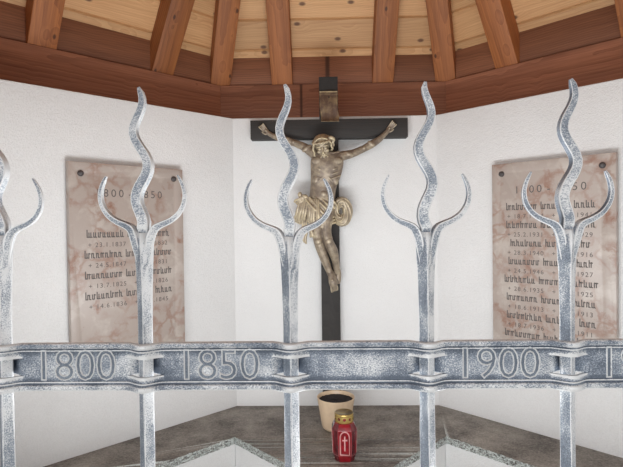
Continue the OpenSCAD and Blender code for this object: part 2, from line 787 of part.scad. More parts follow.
// Each bar ends in a wavy spike between two horns
module trident(lean, high, start) {
    tip = tip_t / 2;
    spike = [for (k = [0 : SPIKE_STEPS]) let (t = k / SPIKE_STEPS)
        [lean * t + spike_wave * pow(4 * t * (1 - t), 0.6) * sin(360 * SPIKE_TURNS * t - start),
         t * high]];
    spike_s = [for (k = [0 : SPIKE_STEPS]) tip + (bar_s / 2 - tip) * sqrt(1 - k / SPIKE_STEPS)];
    horn_s = [for (k = [0 : HORN_STEPS]) tip + (horn_t / 2 - tip) * pow(1 - k / HORN_STEPS, 0.7)];
    forged(spike, spike_s);
    for (s = [-1, 1]) forged(
        [for (k = [0 : HORN_STEPS]) let (p = curve(horn_handles, k / HORN_STEPS))
            [s * p[0] + HORN_LEAN * lean * max(p[1], 0) / horn_h, p[1]]],
        horn_s
    );
}
module grille_upright(i) {
    low = floor_t + rail_z - bar_below;
    rise = by_hand(fork_rise, i);
    fork = fork_top + rise;
    translate([0, 0, low]) cylinder(r = bar_d, h = fork - flare_h - low, $fn = 4);
    translate([0, 0, fork - flare_h]) cylinder(r1 = bar_d, r2 = bar_d * 1.22, h = flare_h, $fn = 4);
    translate([0, 0, fork]) {
        trident(by_hand(tip_lean, i), spike_h - rise, by_hand(wave_start, i));
        cube([bar_s * 1.5, bar_s, bar_s * 1.2], center = true);
    }
}
module grille_uprights() {
    color("#6c788a") for (i = [0 : bays])
        translate([bar_x(i), -grille_y, 0]) union() grille_upright(i);
}

// Octagonal votive lantern with its wax, closed by a domed lid
module on_altar(x, y) {
    translate([x, clear_r - y, ledge_z]) children();
}
lantern_x = 8;
module lantern_cup() {
    r = lantern_w / 2;
    color("#b02636") on_altar(lantern_x, lantern_y) octagonal([
        [0, 0], [r * 0.72, 0], [r * 0.8, lantern_h * 0.05], [r * 0.8, lantern_h * 0.09],
        [r * 0.93, lantern_h * 0.2], [r, lantern_h * 0.84], [lid_r, lantern_h], [0, lantern_h]
    ]);
}
module lantern_lid() {
    r = lid_r;
    neck = r - 1.5;
    color("#b89a4a") on_altar(lantern_x, lantern_y) translate([0, 0, lantern_h])
        rotate_extrude() polygon([
            [0, 0], [r, 0], [r, lid_h * 0.1], [neck, lid_h * 0.16], [neck, lid_h * 0.82],
            [neck - 1.5, lid_h * 0.94], [neck - 5, lid_h], [0, lid_h]
        ]);
}

// The pot rises from a rounded foot to a plain rim
pot_x = -10;
pot_foot = pot_r * 0.58;
pot_belly = [pot_r * 0.76, pot_h * 0.13];
pot_slope = (pot_r - pot_belly[0]) / (pot_h - pot_belly[1]);
soil_drop = 10;
module flower_pot() {
    color("#d8bfa0") on_altar(pot_x, pot_y) rotate_extrude() polygon([
        [0, 0], [pot_foot, 0], [pot_belly[0], pot_belly[1]], [pot_r, pot_h],
        [pot_r - pot_wall, pot_h], [pot_belly[0] - pot_wall, pot_belly[1]],
        [pot_foot - pot_wall, pot_wall], [0, pot_wall]
    ]);
}
module pot_soil() {
    top_h = pot_h - soil_drop;
    inner = pot_belly[0] - pot_wall - joint;
    color("#3b2d22") on_altar(pot_x, pot_y) rotate_extrude() polygon([
        [0, pot_wall], [pot_foot - pot_wall - joint, pot_wall], [inner, pot_belly[1]],
        [inner + (top_h - pot_belly[1]) * pot_slope, top_h], [0, top_h]
    ]);
}

floor_slab();
wall_back();
wall_back_left();
wall_back_right();
wall_left();
wall_right();
ledge_base_left();
ledge_base_right();
altar_base();
ledge_slab_left();
ledge_slab_right();
altar_slab();
wall_plate_back();
wall_plate_back_left();
wall_plate_back_right();
wall_plate_left();
wall_plate_right();
canopy_plates();
post_left();
post_right();
post_blocks();
jack_rafters();
hip_rafters();
king_post();
blocking_boards();
roof_boarding();
sprockets();
eaves_boarding();
shingle_covering();
apex_cap();
cross_upright();
cross_beam();
titulus();
corpus();
plaque_left();
plaque_right();
plaque_bolts();
grille_band();
grille_rail();
grille_uprights();
lantern_cup();
lantern_lid();
flower_pot();
pot_soil();
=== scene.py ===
"""Looks of an open-fronted octagonal wayside shrine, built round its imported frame."""
import json
import math
import random

import bmesh
import bpy
import numpy as np
from mathutils import Matrix, Vector
from mathutils.kdtree import KDTree

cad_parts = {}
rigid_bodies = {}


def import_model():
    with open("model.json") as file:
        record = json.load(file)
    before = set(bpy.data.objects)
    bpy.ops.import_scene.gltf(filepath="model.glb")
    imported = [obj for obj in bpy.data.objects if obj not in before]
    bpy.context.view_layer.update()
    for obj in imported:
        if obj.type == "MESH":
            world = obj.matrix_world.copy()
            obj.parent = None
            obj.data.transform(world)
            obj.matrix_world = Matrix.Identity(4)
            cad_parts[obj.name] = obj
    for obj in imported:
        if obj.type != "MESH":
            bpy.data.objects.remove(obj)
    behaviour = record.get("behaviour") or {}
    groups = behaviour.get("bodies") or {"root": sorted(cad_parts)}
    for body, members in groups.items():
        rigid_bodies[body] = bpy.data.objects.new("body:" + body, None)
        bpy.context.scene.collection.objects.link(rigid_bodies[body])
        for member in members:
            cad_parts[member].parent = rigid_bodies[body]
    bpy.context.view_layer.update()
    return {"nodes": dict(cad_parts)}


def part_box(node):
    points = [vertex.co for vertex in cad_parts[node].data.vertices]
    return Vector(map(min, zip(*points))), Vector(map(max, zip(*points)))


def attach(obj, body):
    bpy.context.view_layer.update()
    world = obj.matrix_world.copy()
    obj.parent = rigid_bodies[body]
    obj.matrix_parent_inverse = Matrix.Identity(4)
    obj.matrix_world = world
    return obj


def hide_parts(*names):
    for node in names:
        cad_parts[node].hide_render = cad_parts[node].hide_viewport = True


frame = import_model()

NODES = frame["nodes"]

# The photograph's frame and the camera that matches its vanishing lines
PHOTO_W = 623
FOCAL_PX = 493.8
SENSOR_W = 36.0
CAMERA_AT = (-0.045, -0.9147, 1.5814)
CAMERA_YAW = math.radians(1.35)
CAMERA_PITCH = math.radians(-0.80)
CAMERA_ROLL = math.radians(-0.72)

# Plan of the octagon: sides are counted anticlockwise from the back
SIDES = 8
TURN = math.tau / SIDES
HALF_TAN = math.tan(TURN / 2)
CORNER_COS = math.cos(TURN / 2)
CLEAR_R = 0.900
OUTER_R = 1.200
PLATE_R = 1.105
PLATE_W = 0.095
LEDGE_Z = 0.920
WALL_Z = 1.983
PLATE_Z = 2.163

# Play on one side of a joint
JOINT = 0.0003

# Roof planes
PITCH = math.radians(53.5)
EAVES_PITCH = math.radians(38)
RAFTER_W = 0.085
RAFTER_D = 0.080
JACK_OFF = 0.205
HIP_W = 0.080
KING_R = 0.100
KING_DROP = 0.090
BOARD_T = 0.024
BOARD_FACE = 0.116
BLOCK_T = 0.022
BLOCK_IN = 0.014
SPROCKET_R = 1.010
SPROCKET_W = 0.060
SPROCKET_TAIL = 0.080
EAVES_R = 1.400
COVER_R = 1.425
PANEL_R = 0.030


def low_z(r):
    """Height of the rafters' lower face at a distance from the middle"""
    return PLATE_Z + (PLATE_R - r) * math.tan(PITCH)


def deck_z(r):
    return low_z(r) + RAFTER_D / math.cos(PITCH)


def deck_top(r):
    return deck_z(r) + BOARD_T / math.cos(PITCH)


def eaves_z(r):
    return deck_top(SPROCKET_R) - (r - SPROCKET_R) * math.tan(EAVES_PITCH)


def make_camera():
    data = bpy.data.cameras.new("camera")
    data.sensor_width = SENSOR_W
    data.lens = FOCAL_PX / PHOTO_W * SENSOR_W
    data.clip_start = 0.02
    camera = bpy.data.objects.new("camera", data)
    bpy.context.scene.collection.objects.link(camera)
    turn = (Matrix.Rotation(CAMERA_YAW, 4, "Z")
            @ Matrix.Rotation(math.pi / 2 + CAMERA_PITCH, 4, "X")
            @ Matrix.Rotation(CAMERA_ROLL, 4, "Z"))
    camera.matrix_world = Matrix.Translation(CAMERA_AT) @ turn
    bpy.context.scene.camera = camera


# Modelling by hand: selecting, adding, cutting and placing

def clear():
    """Back to object mode with nothing selected"""
    if bpy.context.mode != "OBJECT":
        bpy.ops.object.mode_set(mode="OBJECT")
    bpy.ops.object.select_all(action="DESELECT")


def take(*pieces):
    """Selects these pieces alone, the first one active"""
    clear()
    for piece in pieces:
        piece.select_set(True)
    bpy.context.view_layer.objects.active = pieces[0]


def pick(piece, kind, test):
    """Selects in edit mode what passes test(middle, direction)"""
    take(piece)
    bpy.ops.object.mode_set(mode="EDIT")
    bpy.ops.mesh.select_mode(type=kind)
    bpy.ops.mesh.select_all(action="DESELECT")
    mesh = bmesh.from_edit_mesh(piece.data)
    if kind == "VERT":
        for v in mesh.verts:
            v.select_set(bool(test(v.co, v.normal)))
    elif kind == "EDGE":
        for e in mesh.edges:
            a, b = e.verts[0].co, e.verts[1].co
            e.select_set(bool(test((a + b) / 2, (b - a).normalized())))
    else:
        for f in mesh.faces:
            f.select_set(bool(test(f.calc_center_median(), f.normal)))
    bmesh.update_edit_mesh(piece.data)


def pick_all(piece):
    pick(piece, "FACE", lambda middle, way: True)


def face_out(piece):
    """Turns all faces of a piece outwards"""
    pick_all(piece)
    bpy.ops.mesh.normals_make_consistent(inside=False)
    clear()
    return piece


def solid(operator, scale=(1, 1, 1), **settings):
    """Adds a basic form and keeps its place, turn and size in its mesh"""
    clear()
    operator(**settings)
    piece = bpy.context.object
    piece.scale = scale
    bpy.ops.object.transform_apply(location=True, rotation=True, scale=True)
    return piece


def cube(size, at=(0, 0, 0)):
    return solid(bpy.ops.mesh.primitive_cube_add, size, size=1, location=at)


def place(piece, matrix):
    """Puts the piece by a matrix and keeps that place in its mesh"""
    take(piece)
    piece.matrix_world = matrix @ piece.matrix_world
    bpy.ops.object.transform_apply(location=True, rotation=True, scale=True)
    return piece


def turned(angle, axis="Z"):
    return Matrix.Rotation(angle, 4, axis)


def moved(x, y, z):
    return Matrix.Translation((x, y, z))


def trim(piece, point, normal):
    """Saws off what lies beyond a plane and closes the cut"""
    pick_all(piece)
    bpy.ops.mesh.bisect(plane_co=point, plane_no=normal, use_fill=True, clear_outer=True)
    clear()
    return piece


def modify(piece, kind, **settings):
    """Adds a modifier and applies it"""
    take(piece)
    modifier = piece.modifiers.new(kind.lower(), kind)
    for key, value in settings.items():
        setattr(modifier, key, value)
    bpy.ops.object.modifier_apply(modifier=modifier.name)
    return piece


def work_in(piece, tool, operation="DIFFERENCE"):
    """Cuts a tool's form out of a piece, or adds it, and clears the tool away"""
    modify(piece, "BOOLEAN", operation=operation, solver="EXACT", object=tool)
    bpy.data.objects.remove(tool)


def copy_of(piece):
    """A copy with its own mesh"""
    new = piece.copy()
    new.data = piece.data.copy()
    bpy.context.scene.collection.objects.link(new)
    return new


def join(pieces):
    if len(pieces) > 1:
        take(*pieces)
        bpy.ops.object.join()
    return pieces[0]


def cad_copy(*nodes):
    """The merged copy of CAD nodes, each flat face in one piece"""
    copies = []
    for node in nodes:
        new = bpy.data.objects.new(node + "_copy", NODES[node].data.copy())
        new.data.materials.clear()
        bpy.context.scene.collection.objects.link(new)
        copies.append(new)
    piece = join(copies)
    pick_all(piece)
    bpy.ops.mesh.remove_doubles(threshold=0.00002)
    bpy.ops.mesh.dissolve_limited(angle_limit=math.radians(0.5))
    clear()
    return piece


def sweep(profile, stations):
    """Extrudes a closed profile of (y, z) points along X through stations of (x, y shift)"""
    piece = solid(bpy.ops.mesh.primitive_circle_add, vertices=len(profile), radius=1,
                  fill_type="NGON")
    x, shift = stations[0]
    for v, (y, z) in zip(piece.data.vertices, profile):
        v.co = (x, y + shift, z)
    pick_all(piece)
    for a, b in zip(stations, stations[1:]):
        step = (b[0] - a[0], b[1] - a[1], 0)
        bpy.ops.mesh.extrude_region_move(TRANSFORM_OT_translate={"value": step})
    return face_out(piece)


def draw_up(rings):
    """Extrudes the selected ring up through the others, each a radius and a height"""
    for (ra, za), (rb, zb) in zip(rings, rings[1:]):
        bpy.ops.mesh.extrude_region_move(TRANSFORM_OT_translate={"value": (0, 0, zb - za)})
        bpy.ops.transform.resize(value=(rb / ra, rb / ra, 1), center_override=(0, 0, zb))


def point_values(piece, name, values):
    """Stores a value or a place for each point of the mesh, or one value for all of them"""
    values = np.asarray(values, np.float32)
    if values.ndim == 0:
        values = np.full(len(piece.data.vertices), values)
    kind, field = ("FLOAT", "value") if values.ndim == 1 else ("FLOAT_VECTOR", "vector")
    old = piece.data.attributes.get(name)
    if old:
        piece.data.attributes.remove(old)
    layer = piece.data.attributes.new(name, kind, "POINT")
    layer.data.foreach_set(field, values.ravel())


def read(items, field, width=1, kind=np.float32):
    """Reads one field of many items into an array, a row for each if it has several numbers"""
    values = np.empty(len(items) * width, kind)
    items.foreach_get(field, values)
    return values.reshape(-1, width) if width > 1 else values


def points_of(piece):
    return read(piece.data.vertices, "co", 3)


chance = random.Random(7)


def mark_grain(piece, pith=0.045):
    """Remembers where each point lies in its own board, and gives the board a number"""
    shift = (chance.uniform(0, 1.6), chance.uniform(-0.05, 0.05), -pith * chance.uniform(0.5, 1.6))
    point_values(piece, "grain", points_of(piece) + np.array(shift))
    point_values(piece, "board", chance.random())
    return piece


def mark_turned_grain(piece, angle, axis, pith=0.045):
    """Marks the grain of a piece that doesn't run along X, turned there and back again"""
    mark_grain(place(piece, turned(angle, axis)), pith)
    return place(piece, turned(-angle, axis))


def other_board(piece):
    """Gives a copied board, or a set of boards, its own figure"""
    stored = piece.data.attributes
    shift = np.array((chance.uniform(0, 1.2), chance.uniform(-0.02, 0.02), 0))
    point_values(piece, "grain", read(stored["grain"].data, "vector", 3) + shift)
    board = read(stored["board"].data, "value")
    point_values(piece, "board", np.mod(board + chance.uniform(0.1, 0.9), 1))
    return piece


def mark_relief(piece, rounds=2, strength=1.0):
    """Stores how far each point stands out (above 0) or lies in a hollow (below 0)"""
    mesh = piece.data
    count = len(mesh.vertices)
    co = points_of(piece)
    normal = read(mesh.vertices, "normal", 3)
    a, b = read(mesh.edges, "vertices", 2, np.int32).T
    way = co[b] - co[a]
    way /= np.maximum(np.linalg.norm(way, axis=1, keepdims=True), 1e-9)
    total, number = np.zeros(count), np.zeros(count)
    np.add.at(total, a, -(normal[a] * way).sum(1))
    np.add.at(total, b, (normal[b] * way).sum(1))
    np.add.at(number, a, 1)
    np.add.at(number, b, 1)
    relief = total / np.maximum(number, 1)
    for _ in range(rounds):
        total = np.zeros(count)
        np.add.at(total, a, relief[b])
        np.add.at(total, b, relief[a])
        relief = 0.5 * relief + 0.5 * total / np.maximum(number, 1)
    point_values(piece, "relief", np.clip(relief * strength, -1, 1))
    return piece


def hand_over(piece, name, material, slot, *nodes, angle=32):
    """Names a finished piece, gives it its material and lets it stand for its CAD nodes"""
    piece.name = name
    piece.data.name = name
    piece.data.materials.clear()
    piece.data.materials.append(material)
    take(piece)
    bpy.ops.object.shade_smooth_by_angle(angle=math.radians(angle))
    clear()
    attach(piece, "root")
    if nodes:
        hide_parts(*nodes)
    return piece


def dress(node, width, degrees, name, material, slot, angle=32):
    """Takes over the solid's own form, its edges sharper than some degrees eased by a width"""
    piece = modify(cad_copy(node), "BEVEL", width=width, segments=2, limit_method="ANGLE",
                   angle_limit=math.radians(degrees))
    return hand_over(piece, name, material, slot, node, angle=angle)


# Materials

def colour(code):
    """sRGB hex to linear colour"""
    parts = [int(code[i:i + 2], 16) / 255 for i in (1, 3, 5)]
    linear = [c / 12.92 if c <= 0.04045 else ((c + 0.055) / 1.055) ** 2.4 for c in parts]
    return (*linear, 1)


def feed(tree, node, inputs):
    """Links or sets a node's inputs, where a string is the code of a colour"""
    for key, value in inputs.items():
        if isinstance(value, bpy.types.NodeSocket):
            tree.links.new(value, node.inputs[key])
        else:
            node.inputs[key].default_value = colour(value) if isinstance(value, str) else value


def add(tree, kind, inputs=None, stops=None, out=0, **settings):
    """Adds a node, makes its settings, feeds its inputs and gives back one of its outputs"""
    node = tree.nodes.new("ShaderNode" + kind)
    for key, value in settings.items():
        setattr(node, key, value)
    feed(tree, node, inputs or {})
    if stops:
        ramp = node.color_ramp.elements
        ramp[0].position, ramp[0].color = stops[0][0], colour(stops[0][1])
        ramp[1].position, ramp[1].color = stops[-1][0], colour(stops[-1][1])
        for position, shade in stops[1:-1]:
            ramp.new(position).color = colour(shade)
    return node.outputs[out]


def new_material(name, **inputs):
    material = bpy.data.materials.new(name)
    material.use_nodes = True
    shader = material.node_tree.nodes["Principled BSDF"]
    feed(material.node_tree, shader, {key.replace("_", " "): inputs[key] for key in inputs})
    return material, material.node_tree, shader


# Each fibre streak is about 4 mm wide, wider than real spruce so that it shows
FIBRE_PER_M = 240
RING_TO_SCALE = math.tau / 20


def wood(name, shades, rough, ring_mm, knot, knots, bump_mm, streak=0.5):
    """Softwood with its rings, fibres and knots running along each board"""
    material, tree, shader = new_material(name, Roughness=rough)
    light, dark = shades
    grain = add(tree, "Attribute", attribute_name="grain", out="Vector")
    board = add(tree, "Attribute", attribute_name="board", out="Fac")
    own = add(tree, "VectorMath", {0: board.node.outputs["Vector"], 1: (31, 17, 23), 2: grain},
              operation="MULTIPLY_ADD")
    sway = add(tree, "Mapping", {"Vector": own, "Scale": (2.2, 9, 9)})
    swayed = add(tree, "TexNoise", {"Vector": sway, "Scale": 1, "Detail": 2}, out="Color")
    knot_at = add(tree, "Mapping", {"Vector": own, "Scale": (8, 14, 1)})
    cell = add(tree, "TexVoronoi", {"Vector": knot_at, "Scale": 1}, voronoi_dimensions="2D")
    there = add(tree, "Math", {0: cell.node.outputs["Color"], 1: 0.5}, operation="GREATER_THAN")
    spot = add(tree, "MapRange", {"Value": cell, "From Min": 0.055 * knots,
                                  "From Max": 0.11 * knots, "To Min": 0.85, "To Max": 0})
    knotty = add(tree, "Math", {0: spot, 1: there}, operation="MULTIPLY")
    halo = add(tree, "MapRange", {"Value": cell, "From Min": 0.08 * knots,
                                  "From Max": 0.34 * knots, "To Min": 0.008, "To Max": 0})
    bent = add(tree, "VectorMath", {0: swayed, 1: (0.0, 0.016, 0.016), 2: grain},
               operation="MULTIPLY_ADD")
    lifted = add(tree, "CombineXYZ", {"Z": halo})
    around = add(tree, "VectorMath", {0: bent, 1: lifted}, operation="ADD")
    tilted = add(tree, "Mapping", {"Vector": around, "Rotation": (0, 0.02, 0.014)})
    rings = add(tree, "TexWave", {"Vector": tilted, "Scale": RING_TO_SCALE * 1000 / ring_mm,
                                  "Distortion": 1.2, "Detail": 2, "Detail Scale": 0.6},
                wave_type="RINGS", rings_direction="X", wave_profile="SAW", out="Fac")
    along = add(tree, "Mapping", {"Vector": own, "Scale": (7, FIBRE_PER_M, FIBRE_PER_M)})
    fibre = add(tree, "TexNoise", {"Vector": along, "Scale": 1, "Detail": 3})
    broad = add(tree, "Mapping", {"Vector": own, "Scale": (1.6, 24, 24)})
    patch = add(tree, "TexNoise", {"Vector": broad, "Scale": 1, "Detail": 3})
    drawn = add(tree, "Math", {0: fibre, 1: 0.65, 2: -0.24}, operation="MULTIPLY_ADD")
    ringed = add(tree, "Math", {0: rings, 1: 0.24, 2: drawn}, operation="MULTIPLY_ADD")
    shade = add(tree, "Math", {0: patch, 1: streak, 2: ringed}, operation="MULTIPLY_ADD")
    mixed = add(tree, "ValToRGB", {"Fac": shade}, stops=[(0.12, light), (0.85, dark)])
    toned = add(tree, "MapRange", {"Value": board, "To Min": 0.84, "To Max": 1.16})
    hued = add(tree, "HueSaturation", {"Color": mixed, "Value": toned})
    final = add(tree, "Mix", {0: knotty, 6: hued, 7: knot}, data_type="RGBA", out=2)
    height = add(tree, "Math", {0: rings, 1: 0.5, 2: fibre}, operation="MULTIPLY_ADD")
    relief = add(tree, "Bump", {"Height": height, "Strength": 0.55, "Distance": bump_mm / 1000})
    feed(tree, shader, {"Base Color": final, "Normal": relief})
    return material


def lime_render(name, shade, dusty, grit_mm, bump_mm):
    """Lime render, thrown and felted: matt, slightly rough, with a soft mottling"""
    material, tree, shader = new_material(name, Roughness=0.93)
    at = add(tree, "TexCoord", out="Object")
    cloud = add(tree, "TexNoise", {"Vector": at, "Scale": 2.6, "Detail": 4})
    grit = add(tree, "TexNoise", {"Vector": at, "Scale": 1000 / grit_mm, "Detail": 2,
                                  "Roughness": 0.6})
    lump = add(tree, "TexNoise", {"Vector": at, "Scale": 1000 / (grit_mm * 4), "Detail": 2})
    both = add(tree, "Math", {0: lump, 1: 0.7, 2: grit}, operation="MULTIPLY_ADD")
    mixed = add(tree, "ValToRGB", {"Fac": cloud}, stops=[(0.3, dusty), (0.7, shade)])
    speck = add(tree, "MapRange", {"Value": grit, "From Min": 0.25, "From Max": 0.6,
                                   "To Min": 0.93, "To Max": 1.0})
    final = add(tree, "HueSaturation", {"Color": mixed, "Value": speck})
    relief = add(tree, "Bump", {"Height": both, "Strength": 0.6, "Distance": bump_mm / 1000})
    feed(tree, shader, {"Base Color": final, "Normal": relief})
    return material


def split_stone(name, honed, pale, fleck, rough):
    """Stone or concrete: a worn smooth top with light flecks and a paler rough edge"""
    material, tree, shader = new_material(name, Roughness=rough)
    at = add(tree, "TexCoord", out="Object")
    cloud = add(tree, "TexNoise", {"Vector": at, "Scale": 9, "Detail": 6, "Roughness": 0.65})
    fine = add(tree, "TexNoise", {"Vector": at, "Scale": 190, "Detail": 4})
    grains = add(tree, "TexVoronoi", {"Vector": at, "Scale": 230})
    shade = add(tree, "Math", {0: fine, 1: 0.5, 2: cloud}, operation="MULTIPLY_ADD")
    body = add(tree, "ValToRGB", {"Fac": shade}, stops=[(0.6, honed), (1.4, fleck)])
    for turn, scale in ((0.5, (55, 400, 400)), (-0.7, (70, 460, 460))):
        laid = add(tree, "Mapping", {"Vector": at, "Rotation": (0, 0, turn), "Scale": scale})
        fibre = add(tree, "TexNoise", {"Vector": laid, "Scale": 1, "Detail": 2})
        shown = add(tree, "MapRange", {"Value": fibre, "From Min": 0.58, "From Max": 0.7,
                                       "To Min": 0, "To Max": 0.75})
        body = add(tree, "Mix", {0: shown, 6: body, 7: fleck}, data_type="RGBA", out=2)
    normal = add(tree, "NewGeometry", out="Normal")
    up = add(tree, "SeparateXYZ", {0: normal}, out="Z")
    side = add(tree, "MapRange", {"Value": up, "From Min": 0.9, "From Max": 0.55})
    split = add(tree, "ValToRGB", {"Fac": grains}, stops=[(0.45, pale), (1.0, honed)])
    final = add(tree, "Mix", {0: side, 6: body, 7: split}, data_type="RGBA", out=2)
    height = add(tree, "Math", {0: fine, 1: 0.6, 2: grains}, operation="MULTIPLY_ADD")
    relief = add(tree, "Bump", {"Height": height, "Strength": 0.5, "Distance": 0.0015})
    feed(tree, shader, {"Base Color": final, "Normal": relief})
    return material


RENDER = lime_render("lime_render", "#ebecec", "#e1e2e2", 3.6, 3.2)
FLOOR_STONE = split_stone("floated_concrete_slab", "#a9a59b", "#b9b5ab", "#c3bfb5", 0.85)
LEDGE_STONE = split_stone("schist_slab", "#5a5551", "#dbe2df", "#aaa49b", 0.65)
BLOCK_STONE = split_stone("granite_block", "#7f7a72", "#9a958c", "#a7a299", 0.8)
PLATE_WOOD = wood("stained_spruce_plate", ("#bb8366", "#784d3d"), 0.6, 9, "#3f261d", 0.6, 0.6)
RAFTER_WOOD = wood("stained_spruce_rafter", ("#c07c47", "#814c2c"), 0.6, 9, "#40241a", 0.8, 0.6,
                   streak=0.6)
BLOCK_WOOD = wood("stained_spruce_filling", ("#9f6a4c", "#643e2d"), 0.6, 7, "#3a241a", 1.0, 0.6)
BOARD_WOOD = wood("knotty_spruce_board", ("#e4ba88", "#bc885a"), 0.6, 6, "#5a3523", 1.15, 0.45)


# Timber

def timber(length, width, depth, edge=0.003):
    """A planed timber along X with eased arrises, its middle at the origin"""
    piece = cube((length, width, depth))
    pick(piece, "EDGE", lambda middle, way: abs(way.x) > 0.9)
    bpy.ops.mesh.bevel(offset=edge, segments=2)
    clear()
    return mark_grain(piece)


def all_round(*pieces):
    """Copies pieces to every side, turned about the middle"""
    ring = [other_board(place(copy_of(piece), turned(k * TURN)))
            for k in range(SIDES) for piece in pieces]
    for piece in pieces:
        bpy.data.objects.remove(piece)
    return ring


def mitre_trim(piece, gap=JOINT):
    """Saws a timber of the back side off at both mitre planes"""
    for s in (-1, 1):
        trim(piece, (-s * gap, 0, 0), (s * math.cos(TURN / 2), -math.sin(TURN / 2), 0))
    return piece


def wall_plates():
    length = 2 * OUTER_R * HALF_TAN + 0.01
    plate = timber(length, PLATE_W, PLATE_Z - WALL_Z, edge=0.004)
    place(plate, moved(0, PLATE_R + PLATE_W / 2, (WALL_Z + PLATE_Z) / 2))
    mitre_trim(plate)
    ring = all_round(plate)
    names = {0: "wall_plate_back", 1: "wall_plate_back_left", 7: "wall_plate_back_right",
             2: "wall_plate_left", 6: "wall_plate_right"}
    for k, node in names.items():
        hand_over(ring[k], node + "_timber", PLATE_WOOD, "plate_timber", node)
    canopy = join([ring[3], ring[4], ring[5]])
    hand_over(canopy, "canopy_plate_timbers", PLATE_WOOD, "plate_timber", "canopy_plates")


def slope_matrix(r, z, pitch):
    """Lays a piece drawn in X and Y onto the back side's roof plane at a distance and height"""
    return moved(0, r, z) @ turned(-pitch, "X")


def jack_rafter(side_x):
    piece = timber(1.5, RAFTER_W, RAFTER_D)
    place(piece, turned(math.pi / 2))
    place(piece, moved(side_x, 0, 0) @ slope_matrix(0.8, deck_z(0.8), PITCH)
          @ moved(0, 0, -RAFTER_D / 2))
    near = HIP_W / 2 / math.sin(TURN / 2) + JOINT
    end_r = (JACK_OFF - RAFTER_W / 2) / HALF_TAN
    trim(piece, (0, 0, PLATE_Z), (0, 0, -1))
    trim(piece, (0, OUTER_R, 0), (0, 1, 0))
    trim(piece, (0, end_r, 0), (0, -1, 0))
    for s in (-1, 1):
        trim(piece, (0, near, 0), (s * math.cos(TURN / 2), -math.sin(TURN / 2), 0))
    return piece


def hip_rafter():
    pitch = math.atan(math.tan(PITCH) * CORNER_COS)
    drop = HIP_W / 2 * math.sin(TURN / 2) * math.tan(PITCH)
    top_v = RAFTER_D / math.cos(PITCH) - drop
    depth = top_v * math.cos(pitch)
    piece = timber(2.4, HIP_W, depth)
    place(piece, turned(math.pi / 2))
    at_r = 0.6
    place(piece, moved(0, at_r / CORNER_COS, low_z(at_r)) @ turned(-pitch, "X")
          @ moved(0, 0, depth / 2))
    trim(piece, (0, 0, PLATE_Z), (0, 0, -1))
    trim(piece, (0, (OUTER_R - HIP_W / 2 * math.sin(TURN / 2)) / CORNER_COS, 0), (0, 1, 0))
    trim(piece, (0, KING_R, 0), (0, -1, 0))
    return place(piece, turned(TURN / 2))


def king_post():
    """An octagonal post with a stepped drop under the hips"""
    bottom = low_z(KING_R * CORNER_COS) - KING_DROP
    top = deck_z(KING_R / CORNER_COS) - 0.001
    piece = solid(bpy.ops.mesh.primitive_cylinder_add, vertices=SIDES, depth=top - bottom,
                  radius=(KING_R - JOINT) / CORNER_COS, location=(0, 0, (top + bottom) / 2),
                  rotation=(0, 0, TURN / 2))
    pick(piece, "EDGE", lambda middle, way: abs(way.z) > 0.9)
    bpy.ops.mesh.bevel(offset=0.004, segments=2)
    pick(piece, "FACE", lambda middle, way: way.z < -0.9)
    for share, rise in ((0.72, 0.012), (0.9, 0.010), (0.55, 0.014)):
        bpy.ops.mesh.inset(thickness=0.006)
        bpy.ops.transform.resize(value=(share, share, 1))
        bpy.ops.transform.translate(value=(0, 0, rise * 0.5))
    return mark_turned_grain(piece, math.pi / 2, "Y", pith=0.0)


def filling_board(x0, x1):
    """A board on edge between two rafters, over the plate"""
    block_r = PLATE_R + BLOCK_IN
    high = deck_z(block_r)
    piece = timber(x1 - x0 - 2 * JOINT, BLOCK_T, high - PLATE_Z, edge=0.002)
    place(piece, moved((x0 + x1) / 2, block_r + BLOCK_T / 2, (high + PLATE_Z) / 2))
    return trim(piece, (0, block_r, deck_z(block_r)), (0, math.sin(PITCH), math.cos(PITCH)))


def filling_boards():
    block_r = PLATE_R + BLOCK_IN
    inner = JACK_OFF - RAFTER_W / 2
    outer = JACK_OFF + RAFTER_W / 2
    corner = block_r * HALF_TAN - HIP_W / 2 / CORNER_COS
    return join(all_round(filling_board(-inner, inner), filling_board(outer, corner),
                          filling_board(-corner, -outer)))


def boarded_slope(r_in, r_out, top_of, pitch, first, groove):
    """Grooved and tongued boards side by side up one roof slope, cut to the hips"""
    boards = []
    full = (r_out - r_in) / math.cos(pitch)
    start = first
    while start < full:
        length = 2 * r_out * HALF_TAN
        board = cube((length, BOARD_FACE - 2 * JOINT, BOARD_T))
        pick(board, "EDGE", lambda middle, way: abs(way.x) > 0.9 and middle.z < 0)
        bpy.ops.mesh.bevel(offset=groove, segments=1)
        clear()
        mark_grain(board, pith=0.03)
        middle_s = start + BOARD_FACE / 2
        r = r_out - middle_s * math.cos(pitch)
        place(board, slope_matrix(r, top_of(r), pitch) @ moved(0, 0, BOARD_T / 2))
        if start < 0:
            trim(board, (0, r_out, 0), (0, 1, 0))
        if start + BOARD_FACE > full:
            trim(board, (0, r_in, 0), (0, -1, 0))
        boards.append(mitre_trim(board))
        start += BOARD_FACE
    return join(boards)


